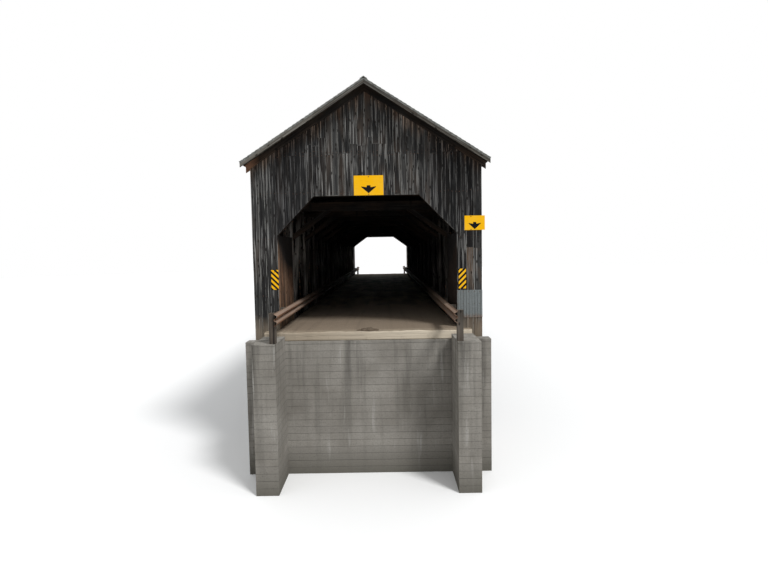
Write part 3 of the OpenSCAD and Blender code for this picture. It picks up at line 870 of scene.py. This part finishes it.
deck_finish = dusty_finish(
    "dusty_deck_planks", dark=(0.03, 0.024, 0.018), pale=(0.13, 0.10, 0.072),
    dust=(0.34, 0.27, 0.20), bare_from=6.0,
)
give(shader_of(deck_finish), Specular_IOR_Level=0.1)
low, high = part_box("deck")
corners = []
for start, end in shared_widths(low.y, high.y, round((high.y - low.y) / board_width), 0.06):
    stops = [low.x, high.x]
    if chance.uniform() < 0.45:
        stops = [low.x, chance.choice([-0.7, 0.0, 0.7]), high.x]
    for left, right in zip(stops[:-1], stops[1:]):
        corners.append(lying(high.z, left, right, start, end))
plank = model_board("deck_planks", board_width, 0.074, rings=11, rounding=0.004)
lay(plank, (deck_finish, "deck", ("deck",)), corners, (0, 0, -1), loose=0.003, gap=0.006,
    warmths=(0.1, 0.3, 0.5), wear=track_wear)

# %% [markdown]
# At each portal a heavy timber ends the deck. Wheels bump over it all day, so its top
# edge is rounded, chewed and rubbed pale. A long template with many rings lets the wear
# follow a wavy line.

# %% Wear the sill timbers
sill_width = 0.3
sill_finish = dusty_finish(
    "worn_sill", dark=(0.13, 0.10, 0.075), pale=(0.60, 0.49, 0.37),
    dust=(0.40, 0.325, 0.24), bare_from=17.0, depth=0.006,
)


def sill_wear(place, side):
    """A wavy line of wear, deepest on the edge that faces the road."""
    x = place[..., 0]
    wave = np.sin(x * 3.1 + 1) + 0.6 * np.sin(x * 8.7) + 0.4 * np.sin(x * 21 + 2)
    outside = np.clip(side * np.sign(place[..., 1]), -1, 1) * 0.5 + 0.5
    return 0.008 + 0.006 * wave * 0.5 + 0.016 * outside ** 2 * (0.6 + 0.3 * wave)


here = place_on(sill_finish)
edge = size_of(parts_of(fact(sill_finish, "marks"))[0])
rubbed = between(plus(edge, cloud(here, 5.0, 4.0, 0.6), 0.5), 1.0, 1.2)
share = times(rubbed, between(parts_of(here)[0], -1.5, 1.2, 0.25, 0.9))
repaint(sill_finish, share, (0.66, 0.58, 0.46))
low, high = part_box("sill_timbers")
corners = []
for facing in (-1, 1):
    start, end = sorted((facing * (high.y - sill_width), facing * high.y))
    corners.append(lying(high.z, low.x, high.x, start, end))
timber = model_board("sill_timbers_worn", sill_width, high.z - low.z, rings=60,
                     rounding=0.022, columns=2)
lay(timber, (sill_finish, "sill", ("sill_timbers",)), corners, (0, 0, -1), loose=0.0,
    gap=0.0, warmths=(0.2,), wear=sill_wear)

# %% [markdown]
# ## Jamb linings
# Just inside each portal the trusses are boxed in with upright boards, once painted or
# stained a red brown that has dulled under dust. They get the same board again, in a
# warmer wood, and their lower ends are greyer where wheels splash them. Their tops get a
# painted shadow that reaches lower the deeper inside they stand, and the boards on the right
# as one drives in get a painted shade that makes them almost black.

# %% Line the jambs
lining_finish = board_finish(
    "red_brown_lining", dark=(0.045, 0.025, 0.016), pale=(0.34, 0.205, 0.125),
    warm=(0.31, 0.165, 0.095), edge_wear=0.15, depth=0.003, damp_foot=(3.0, 4.1),
)

# Painted shadow across the tops of the lining, lower deeper inside, and painted shade on
# boards with a very low tone.
here = place_on(lining_finish)
along, up = parts_of(here)[1:]
height = plus(up, calc("SUBTRACT", portal_y, size_of(along)), 0.42)
lining_shade = between(plus(height, cloud(here, 2.2), 0.7), 6.0, 6.65, 0.0, 0.97)
tone = parts_of(fact(lining_finish, "marks"))[1]
lining_shade = calc("MAXIMUM", lining_shade, between(tone, -0.9, -0.5, 0.6, 0.0))
repaint(lining_finish, lining_shade, (0.012, 0.011, 0.011))
low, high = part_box("jamb_linings")
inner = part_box("sway_posts")[1].y
corners = []
into = []
shaded = []
for side in (-1, 1):
    for facing in (-1, 1):
        stops = sorted((facing * inner, facing * high.y))
        for start, end in shared_widths(*stops, 10, 0.12):
            # The boards on the right as one drives in get a very low tone, which the finish
            # paints as shade.
            if side == -facing:
                shaded.append((len(corners), chance.uniform(-1.3, -0.9), 0.1))
            corners.append(standing(side * (high.x - 0.025), start, end, low.z, high.z))
            into.append((side, 0, 0))
board = model_board("jamb_lining_boards", board_width, 0.021, rings=5, rounding=0.002)
lay(board, (lining_finish, "lining", ("jamb_linings",)), corners, into, loose=0.003,
    gap=0.004, warmths=(0.3, 0.6, 1.0), chosen=shaded)

# %% [markdown]
# ## Timbers that keep their solids
# Chords, posts, beams and braces are right as they are, so only their finish is made.
# Their meshes carry no grain attribute, so the grain is taken from Object coordinates,
# turned so that it runs along each timber. Where a node holds braces that lean both ways,
# the coordinate is first folded with Absolute, which makes both halves lean the same way.
# Near the portals the upright and braced truss timbers get a painted light, and the truss on
# the right a painted shade; ties, struts, headers and knee braces are painted almost black as
# shade. The left gable rafter ends in newer, redder wood at the near portal.

# %% Finish the framing
# Painted shade: these timbers are made almost black.
shade_black_wood = {"dark": (0.0030, 0.0028, 0.0027), "pale": (0.022, 0.019, 0.0165)}
# Painted light near the portals (portal_light) and painted shade on the right-hand truss
# (right).
truss_wood = {"dark": (0.020, 0.019, 0.018), "pale": (0.17, 0.162, 0.15), "warmth": 0.2,
              "portal_light": 2.7, "right": 0.4}
plate_wood = {"dark": (0.03, 0.016, 0.010), "pale": (0.16, 0.085, 0.055), "warmth": 0.9}
post_wood = {"dark": (0.045, 0.04, 0.034), "pale": (0.19, 0.17, 0.145), "warmth": 0.3}


def timber_finish(name, direction, folded=None, dark=(0.006, 0.0055, 0.005),
                  pale=(0.050, 0.042, 0.034), warmth=0.5, portal_light=1.0, right=1.0):
    """Sawn timber with its grain along a direction, from Object coordinates."""
    finish, here = new_finish(name, gloss=0.2)
    across, along = parts_of(here)[:2]
    axes = list(parts_of(here))
    if folded is not None:
        axes[folded] = size_of(axes[folded])
    place = put(finish, "CombineXYZ", n0=axes[0], n1=axes[1], n2=axes[2]).outputs[0]
    turn = Vector(direction).normalized().rotation_difference((0, 1, 0)).to_euler()
    tone = between(cloud(here, (1.3, 0.38, 0.9), 1.0), 0.3, 0.7)
    wood = use_group(finish, old_wood, Grain=stretched(place, (1, 1, 1), turn), Tone=tone,
                     Warmth=warmth, Dark=dark, Pale=pale, Warm=(0.075, 0.045, 0.028),
                     Edge_Wear=0.06)
    # Painted light: near the portals the colour is multiplied by portal_light. Painted shade:
    # on the right, by right.
    daylit = between(size_of(along), 6.0, 13.0)
    colour = tint(daylit, wood["Color"], (portal_light,) * 3, "MULTIPLY")
    colour = tint(between(across, 0.5, 1.5), colour, (right,) * 3, "MULTIPLY")
    dust = times(between(facing_up(finish), 0.6, 1.0, 0.0, 0.8), cloud(here, 6.0, 4.0), True)
    colour = tint(dust, colour, (0.15, 0.12, 0.09))
    return coated(finish, colour, wood["Roughness"], wood["Height"], depth=0.004)


def wear_finish(finish, *nodes):
    """Gives a finish to solids that keep their shape."""
    for node in nodes:
        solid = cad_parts[node]
        solid.data.materials.clear()
        solid.data.materials.append(finish)
    print(finish.name, "on", ", ".join(nodes))


for name, direction, folded, wood, nodes in (
    ("timber_along_the_bridge", (0, 1, 0), None, {},
     ("bottom_chords", "top_chords", "stringers", "side_girts")),
    ("timber_across_the_bridge", (1, 0, 0), None, {},
     ("floor_beams", "bed_timbers", "portal_nailers", "angle_blocks")),
    ("shade_black_struts", (1, 0, 0), None, shade_black_wood,
     ("tie_beams", "sway_struts", "portal_headers")),
    ("upright_timber", (0, 0, 1), None, truss_wood, ("sway_posts", "portal_posts")),
    ("main_brace_timber", (0, -0.53, 1), 1, truss_wood,
     ("main_braces_left", "main_braces_right")),
    ("counter_brace_timber", (0, 0.53, 1), 1, truss_wood, ("counter_braces",)),
    ("knee_timber", (-1.26, 0, 0.91), 0, shade_black_wood, ("knee_braces",)),
    ("lateral_timber", (1, 0.5, 0), None, {}, ("lateral_braces",)),
    ("wall_plate_timber", (0, 1, 0), None, plate_wood, ("wall_plates",)),
    ("rail_post_timber", (0, 0, 1), None, post_wood, ("rail_blocks",)),
):
    wear_finish(timber_finish(name, direction, folded, **wood), *nodes)
rafter_finish = timber_finish("rafter_timber", (-1, 0, roof_slope), 0)
rafter_x, rafter_y = parts_of(place_on(rafter_finish))[:2]
red_tail = times(between(rafter_x, -2.85, -3.1, 0.0, 0.85),
                 between(rafter_y, -17.8, -17.7, 1.0, 0.0))
repaint(rafter_finish, red_tail, (0.30, 0.16, 0.095))
wear_finish(rafter_finish, "rafters_left", "rafters_right")

# %% [markdown]
# The roof boards lie along the bridge, with gaps between them that show from below. A
# small group draws such gaps for any coordinate and width, and gives each board a tone
# of its own. It comes back in the marks that formwork boards left in the concrete.

# %% Roof boards under the shingles
board_lines, start, end = group_of(
    "board_lines", ("Gap", "Tone"), Across=0.0, Width=0.2, Line=0.004
)
steps = calc("DIVIDE", start["Across"], start["Width"])
inside = calc("FRACT", steps)
nearest = times(calc("MINIMUM", inside, calc("SUBTRACT", 1.0, inside)), start["Width"])
tone = put(board_lines, "TexWhiteNoise", {"noise_dimensions": "1D"},
           W=calc("FLOOR", steps)).outputs["Value"]
give(end, Gap=calc("LESS_THAN", nearest, start["Line"]), Tone=tone)

roof_wood, here = new_finish("roof_boards_from_below", gloss=0.2)
across, along = parts_of(here)[:2]
up_slope = calc("DIVIDE", size_of(across), math.cos(roof_angle))
lines = use_group(roof_wood, board_lines, Across=up_slope, Width=0.19, Line=0.004)
shift = times(lines["Tone"], 30.0)
grain = put(roof_wood, "CombineXYZ", n0=up_slope, n1=plus(along, shift), n2=shift)
wood = use_group(roof_wood, old_wood, Grain=grain.outputs[0], Tone=lines["Tone"], Warmth=0.6,
                 Edge_Wear=0.15, Dark=(0.012, 0.010, 0.008), Pale=(0.085, 0.068, 0.052),
                 Warm=(0.09, 0.05, 0.03))
colour = tint(lines["Gap"], wood["Color"], (0.003, 0.003, 0.003))
height = plus(wood["Height"], lines["Gap"], -2.0)
coated(roof_wood, colour, wood["Roughness"], height, depth=0.004)
bleach_roof_edge(roof_wood)
wear_finish(roof_wood, "roof_boards_left", "roof_boards_right")

# %% [markdown]
# ## Concrete abutments
# The abutments were cast between rough boards, which left level lines, and every board
# soaked up water differently. Since then rain has run down from the bridge seat in dark
# streaks, and the foot stays damp. The streaks are one noise drawn out upright; its
# strength fades from the seat down, so the staining has a source. Each stain is a colour
# with its own share, and they are laid over one another in the order they came.

# %% Stain the concrete


def layered(colour, *stains):
    """A colour with stains laid over it, each with its share from 0 to 1."""
    for share, stain in stains:
        colour = tint(share, colour, stain)
    return colour


def speckle(place, scale, result="Distance"):
    """Cells around chance points, as the distance from their middle or as a colour."""
    return put(place.id_data, "TexVoronoi", Vector=place, Scale=scale).outputs[result]


concrete, here = new_finish("old_board_marked_concrete", gloss=0.3)
up = parts_of(here)[2]
lines = use_group(concrete, board_lines, Across=plus(up, cloud(here, 1.1), 0.012),
                  Width=0.185, Line=0.0045)
broad = cloud(here, 0.8, 5.0, 0.6)
fine = cloud(here, 22.0, 5.0, 0.65)
streaks = cloud(here, (3.4, 3.4, 0.22), 5.0, 0.6)
streak = times(between(streaks, 0.48, 0.72), between(up, 0.3, 3.4, 0.15, 1.0))
lime = cloud(here, (5.0, 5.0, 0.5), place=(7, 3, 1))
pit = between(speckle(here, 26.0), 0.10, 0.19, 1.0, 0.0)
cement = tint(between(broad, 0.3, 0.7), (0.20, 0.185, 0.16), (0.37, 0.35, 0.315))
colour = layered(
    cement,
    (times(lines["Tone"], 0.22), (0.22, 0.21, 0.19)),
    (between(fine, 0.35, 0.75, 0.0, 0.35), (0.16, 0.15, 0.13)),
    (times(streak, 0.75), (0.055, 0.052, 0.045)),
    (between(lime, 0.62, 0.75, 0.0, 0.5), (0.52, 0.51, 0.48)),
    (between(plus(up, broad, -1.3), -0.7, 0.1, 0.65, 0.0), (0.06, 0.058, 0.042)),
    (times(lines["Gap"], 0.55), (0.10, 0.095, 0.085)),
    (times(pit, 0.6), (0.07, 0.065, 0.055)),
)
height = plus(plus(times(fine, 0.5), pit, -1.0), lines["Gap"], -0.6)
coated(concrete, colour, 0.88, plus(height, lines["Tone"], 0.5), 0.006)
wear_finish(concrete, "abutment_near", "abutment_far")

# %% [markdown]
# ## Iron and steel
# Three metals age in three ways. The guard rails have rusted all over and then been
# rubbed by dust; the rods of the trusses are painted iron with rust at the nuts; the
# ribbed sheet is galvanised, and shows the blotchy crystals of zinc. Rust is shared as
# a group: a colour that wanders between dark scale, red brown and pale dusty orange.

# %% Build the metals
rust, start, end = group_of("rust", ("Color", "Height"), Place=None, Dust=0.4)
place = start["Place"]
blotch = cloud(place, 3.0, 6.0, 0.65)
scale = cloud(place, 38.0, 4.0, 0.6)
dusty = cloud(stretched(place, (1, 0.25, 1), place=(3, 9, 4)), 5.0, 4.0, 0.6)
red_brown = tint(between(blotch, 0.35, 0.65), (0.065, 0.034, 0.023), (0.25, 0.120, 0.066))
colour = layered(
    red_brown,
    (between(scale, 0.5, 0.8, 0.0, 0.6), (0.29, 0.14, 0.075)),
    (times(between(dusty, 0.35, 0.65), start["Dust"]), (0.34, 0.27, 0.21)),
)
give(end, Color=colour, Height=plus(blotch, scale, 0.5))


def rusty_finish(name, dust):
    """Metal that has rusted all over, with a painted shade deep inside the bridge."""
    finish, here = new_finish(name, gloss=0.15)
    coat = use_group(finish, rust, Place=stretched(here, (1, 0.3, 1)), Dust=dust)
    # Painted shade: deep inside the bridge the metal turns almost black.
    colour = layered(
        coat["Color"],
        (between(facing_up(finish), 0.25, 0.9, 0.0, 0.7), (0.36, 0.27, 0.21)),
        (between(size_of(parts_of(here)[1]), 10.0, 16.5, 0.95, 0.0), (0.012, 0.009, 0.007)),
    )
    rough = between(coat["Height"], 0.4, 1.0, 0.95, 0.78)
    return coated(finish, colour, rough, coat["Height"], depth=0.0015, metal=0.1)


rail_finish = rusty_finish("rusty_guard_rail", 0.5)
bolt_finish = rusty_finish("rusty_bolt_heads", 0.15)
wear_finish(rail_finish, "guard_rails")
iron, here = new_finish("flaking_dark_iron", gloss=0.5)
coat = use_group(iron, rust, Place=here, Dust=0.3)
bare = between(cloud(here, 7.0, 6.0, 0.7), 0.48, 0.56)
colour = tint(bare, (0.022, 0.021, 0.02), coat["Color"])
coated(iron, colour, between(bare, 0.0, 1.0, 0.45, 0.85), times(bare, -1.0), 0.001)
wear_finish(iron, "tension_rods")
zinc, here = new_finish("galvanised_sheet", gloss=0.5)
spangle = speckle(here, 55.0, "Color")
bright = put(zinc, "SeparateColor", Color=spangle).outputs[0]
chalk = cloud(here, (9, 9, 1.2), 5.0, 0.6)
coat = use_group(zinc, rust, Place=here, Dust=0.4)
rusty_foot = between(plus(parts_of(here)[2], chalk, -0.35), 3.87, 4.02, 0.8, 0.0)
colour = layered(
    tint(bright, (0.155, 0.175, 0.18), (0.235, 0.26, 0.26)),
    (between(chalk, 0.45, 0.7, 0.0, 0.5), (0.14, 0.15, 0.145)),
    (rusty_foot, coat["Color"]),
)
coated(zinc, colour, between(bright, 0.0, 1.0, 0.42, 0.62), chalk, depth=0.001, metal=0.35)
wear_finish(zinc, "ribbed_sheet")

# %% [markdown]
# ## Laps in the guard rails
# A guard rail comes in lengths of almost 4 m that overlap by 30 cm. The rail's own solid
# has the right wave, so a lap is cut from a copy of it: the copy's loose triangles are
# merged, everything outside a short stretch is bisected away, and the rest is swollen by
# a few millimetres so that it sits over the rail like the end of the next length.

# %% Cut and repeat the laps
lap_length = 0.31
lap_swell = 0.004
lap_places = (-17.3, -13.5, -9.7, -5.9, -2.1, 1.7, 5.5, 9.3, 13.1, 16.9)

lap = bpy.data.objects.new("rail_laps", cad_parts["guard_rails"].data.copy())
bpy.context.scene.collection.objects.link(lap)
edit(lap)
bpy.ops.mesh.remove_doubles(threshold=0.0002)
bpy.ops.mesh.dissolve_limited(angle_limit=math.radians(0.5))
for y, side in ((lap_places[0], (0, -1, 0)), (lap_places[0] + lap_length, (0, 1, 0))):
    bpy.ops.mesh.select_all(action="SELECT")
    bpy.ops.mesh.bisect(plane_co=(0, y, 0), plane_no=side, use_fill=True, clear_outer=True)
bpy.ops.mesh.select_all(action="SELECT")
bpy.ops.mesh.normals_make_consistent(inside=False)
bpy.ops.transform.shrink_fatten(value=lap_swell)
leave()
places = repeated(lap, len(lap_places))
places[..., 1] += np.array(lap_places)[:, None] - lap_places[0]
lap.data.vertices.foreach_set("co", places.ravel())
dress(lap, rail_finish, "rail")

# %% [markdown]
# ## Bolts, nails and screws
# Small fasteners are what the eye looks for up close. A bolt is a six-sided cylinder with
# its rim bevelled on a flat round washer. Each kind is modelled once, pointing up, and its
# copies are turned to the face that they hold. All those faces are upright, so a fastener
# lies level, and only the way it points has to be said.

# %% Model the fasteners


def round_start(name, sides, radius, low, high, rim=0):
    """A cylinder primitive from low to high whose upper rim is bevelled."""
    bpy.ops.object.select_all(action="DESELECT")
    bpy.ops.mesh.primitive_cylinder_add(
        vertices=sides, radius=radius, depth=high - low, location=(0, 0, (low + high) / 2)
    )
    head = settled(name)
    if rim:
        pick(head, "FACE", lambda face: face.normal.z > 0.9)
        bpy.ops.mesh.bevel(offset=rim, segments=1, affect="EDGES")
        leave()
    return head


def joined(pieces, name):
    """Makes one object of several."""
    only(pieces[0])
    for piece in pieces:
        piece.select_set(True)
    bpy.ops.object.join()
    pieces[0].name = name
    return pieces[0]


def model_bolt(name, across, tall):
    """A hexagon head on a washer, pointing up."""
    head = round_start(name, 6, across / 2, 0.004, tall, across * 0.08)
    washer = round_start(name + "_washer", 12, across * 0.85, -0.004, 0.005)
    return joined([head, washer], name)


def set_fasteners(part, places, slot):
    """Copies of a fastener at many places, each a point and the level way it points."""
    points, ways = np.array(places, float).transpose(1, 0, 2)
    aside = np.cross((0.0, 0.0, 1.0), ways)
    shape = repeated(part, len(places))
    placed = points[:, None] + shape[..., 2:] * ways[:, None]
    placed = placed + shape[..., :1] * aside[:, None]
    placed[..., 2] += shape[..., 1]
    part.data.vertices.foreach_set("co", placed.ravel())
    part.data.update()
    dress(part, bolt_finish, slot)


# %% [markdown]
# The rows follow what the fasteners hold. Rails are bolted at blocks, posts and laps, the
# lines of the chords at every half panel, struts and posts at every panel point. Boards
# are nailed to each girt and nailer behind them, two nails in a board's width.

# %% Set the bolts and nails
panel = 2.6
panel_points = [-15.6 + panel * i for i in range(13)]
half_points = [-16.25 + panel / 2 * i for i in range(26)]
rail_ends = (-19.7, -17.82, 17.82, 19.7)
frame_rows = (
    (2.51, 7.79, 0.0, -1, half_points), (2.51, 7.93, 0.16, -1, half_points),
    (3.05, 2.755, 0.0, 1, half_points), (3.05, 3.0, 0.0, 1, half_points),
    (2.44, 6.92, 0.0, -1, panel_points), (2.44, 7.04, 0.0, -1, panel_points),
)
side_rows = (2.85, 4.10, 5.36, 6.61, 7.86)
portal_rows = (2.95, 4.75, 6.3, 7.53, 8.53, 8.62, 9.48)
side_nails = np.arange(-17.85, 17.9, 0.107)
portal_nails = np.arange(-3.08, 3.1, 0.1)

low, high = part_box("guard_rails")
along = [*panel_points, *rail_ends]
for place in lap_places:
    along += [place + 0.06, place + 0.25]
middle = (low.z + high.z) / 2
places = [
    ((side * (high.x - 0.005), y, middle), (-side, 0, 0)) for side in (-1, 1) for y in along
]
set_fasteners(model_bolt("rail_bolts", 0.036, 0.022), places, "rail")
places = [
    ((side * out, y + shift, z), (side * way, 0, 0))
    for side in (-1, 1) for out, z, shift, way, row in frame_rows for y in row
]
set_fasteners(model_bolt("frame_bolts", 0.045, 0.03), places, "rods")
places = []
for y in side_nails:
    for z in side_rows:
        for side in (-1, 1):
            height = z + chance.uniform(-0.03, 0.03)
            places.append(((side * wall_side, y, height), (side, 0, 0)))
for x in portal_nails:
    for z in portal_rows:
        height = z + chance.uniform(-0.025, 0.025)
        on_wall = abs(x) > opening_side + 0.02 or height > opening_edge(x) + 0.04
        if on_wall and height < under_roof(x) - 0.24:
            for facing in (-1, 1):
                places.append(((x, facing * portal_y, height), (0, facing, 0)))
set_fasteners(round_start("nail_heads", 6, 0.0065, -0.014, 0.001), places, "boards")
print(len(places), "nails")

# %% [markdown]
# ## Signs
# Over the opening and beside it hang two yellow height signs, and two striped markers
# warn of the jambs. The plates are already solids. Their faces get a slightly faded,
# dusty yellow.

# %% Paint the signs
stripe_step = 0.152


def plate_paint(name, striped):
    """Yellow sign paint, dusty and a little scratched; striped for the jamb markers."""
    finish, here = new_finish(name, gloss=0.1)
    faded = between(cloud(here, 3.0, 4.0, 0.6), 0.4, 0.75)
    colour = tint(faded, (1.0, 0.52, 0.002), (0.97, 0.54, 0.03))
    if striped:
        place = parts_of(here)
        slant = plus(place["Z"], size_of(place["X"]), -1.0)
        step = calc("FRACT", calc("DIVIDE", slant, stripe_step))
        colour = tint(calc("LESS_THAN", step, 0.50), colour, (0.008, 0.008, 0.009))
    scratches = cloud(here, (60, 60, 9), 4.0, 0.7)
    grime = cloud(here, 9.0, 5.0, 0.65)
    colour = layered(
        colour,
        (between(scratches, 0.66, 0.76, 0.0, 0.3), (0.5, 0.40, 0.24)),
        (between(grime, 0.58, 0.85, 0.0, 0.35), (0.25, 0.16, 0.06)),
    )
    return coated(finish, colour, between(grime, 0.3, 0.8, 0.38, 0.65), scratches, 0.0002)


wear_finish(plate_paint("yellow_sign_paint", False), "clearance_signs")
wear_finish(plate_paint("striped_marker_paint", True), "hazard_markers")

# %% [markdown]
# The arrow that points down is a flat shape of its own: a circle primitive with as many
# points as the arrow has corners, moved to those corners and extruded. The place of the
# lettering stays bare.

# %% Cut out the arrows
arrow_middle = 0.30
arrow_outline = (
    (-0.06, 0.495), (0.06, 0.495), (0.07, 0.40), (0.25, 0.445), (0.25, 0.415),
    (0.0, 0.110), (-0.25, 0.415), (-0.25, 0.445), (-0.07, 0.40),
)
sign_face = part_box("clearance_signs")[0].y
sign_plates = (
    {"x": 0.07, "foot": 7.45, "tall": 0.53, "arrow": (0.80, 1.05), "bolts": 0.07},
    {"x": 2.93, "foot": 6.465, "tall": 0.39, "arrow": (0.66, 1.3), "bolts": 2.83},
)

made = []
for plate in sign_plates:
    bpy.ops.object.select_all(action="DESELECT")
    bpy.ops.mesh.primitive_circle_add(vertices=len(arrow_outline), fill_type="NGON")
    arrow = bpy.context.object
    wide, taller = plate["arrow"]
    for point, (across, up) in zip(arrow.data.vertices, arrow_outline):
        up = arrow_middle + (up - arrow_middle) * taller
        height = plate["foot"] + up * plate["tall"]
        point.co = (plate["x"] + across * wide, sign_face - 0.0012, height)
    edit(arrow)
    bpy.ops.mesh.extrude_region_move(TRANSFORM_OT_translate={"value": (0, 0.0014, 0)})
    leave()
    face_outwards(arrow)
    made.append(arrow)
film, here = new_finish("black_sign_film", gloss=0.1)
dust = cloud(here, 14.0, 4.0, 0.6)
colour = tint(between(dust, 0.5, 0.8, 0.0, 0.4), (0.004, 0.004, 0.007), (0.04, 0.035, 0.03))
coated(film, colour, between(dust, 0.3, 0.8, 0.4, 0.7))
dress(joined(made, "sign_arrows"), film, "sign")

# %% [markdown]
# Each plate hangs on two bolts. Three rows of screws hold the ribbed sheet, with one in
# every other rib.

# %% Fasten the plates and the sheet
marker_middles = ((-2.54, 5.20), (2.585, 5.15))
forward = (0, -1, 0)

places = [
    ((plate["bolts"], sign_face, plate["foot"] + plate["tall"] * up), forward)
    for plate in sign_plates for up in (0.05, 0.94)
]
for x, middle in marker_middles:
    places += [((x, sign_face, middle + shift), forward) for shift in (-0.22, 0.22)]
set_fasteners(model_bolt("plate_bolts", 0.016, 0.009), places, "sign")
low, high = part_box("ribbed_sheet")
places = []
for z in (low.z + 0.05, (low.z + high.z) / 2, high.z - 0.05):
    for rib in (0, 2, 4, 6, 8):
        x = low.x + (rib + 0.02) * (high.x - low.x) / 9 + 0.004
        x = min(max(x, low.x + 0.012), high.x - 0.012)
        places.append(((x, high.y - 0.003, z), forward))
set_fasteners(model_bolt("sheet_screws", 0.011, 0.007), places, "sheet")

# %% [markdown]
# ## Earth on the sill
# Wheels have dropped a low heap of earth on the sill in the middle of the road. A sphere
# primitive is cut level, flattened and roughened; a few small crumbs around it keep the
# edge from looking drawn. Heaps need no detail, only an outline that nothing else has.

# %% Drop some earth on the sill
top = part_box("sill_timbers")[1].z - 0.014
heaps = [(-0.10, -18.38, 0.12, 0.09, 0.070), (0.04, -18.37, 0.13, 0.10, 0.085),
         (0.19, -18.34, 0.09, 0.06, 0.045), (-0.24, -18.36, 0.07, 0.05, 0.030)]
for step in range(14):
    size = chance.uniform(0.008, 0.022)
    heaps.append((chance.uniform(-0.35, 0.35), chance.uniform(-18.42, -18.22),
                  size, size, size * 0.8))
made = []
for x, y, wide, deep, tall in heaps:
    rings = 10 if wide > 0.05 else 4
    bpy.ops.object.select_all(action="DESELECT")
    bpy.ops.mesh.primitive_uv_sphere_add(segments=2 * rings, ring_count=rings, radius=1)
    heap = bpy.context.object
    edit(heap)
    bpy.ops.transform.resize(value=(wide, deep, tall))
    bpy.ops.transform.vertex_random(offset=tall * 0.2, seed=len(made))
    bpy.ops.mesh.bisect(plane_co=(0, 0, -0.2 * tall), plane_no=(0, 0, 1), use_fill=True,
                        clear_inner=True)
    bpy.ops.mesh.select_all(action="SELECT")
    bpy.ops.transform.translate(value=(x, y, top))
    leave()
    face_outwards(heap)
    made.append(heap)
heap = joined(made, "earth_on_sill")
bpy.ops.object.shade_smooth()
earth, here = new_finish("dry_earth", gloss=0.1)
crumbs = cloud(here, 45.0, 5.0, 0.7)
stone = between(speckle(here, 60.0), 0.12, 0.2, 0.6, 0.0)
colour = tint(between(crumbs, 0.35, 0.7), (0.070, 0.053, 0.038), (0.20, 0.155, 0.115))
coated(earth, tint(stone, colour, (0.26, 0.24, 0.21)), 0.95, crumbs, 0.006)
dress(heap, earth, "deck")
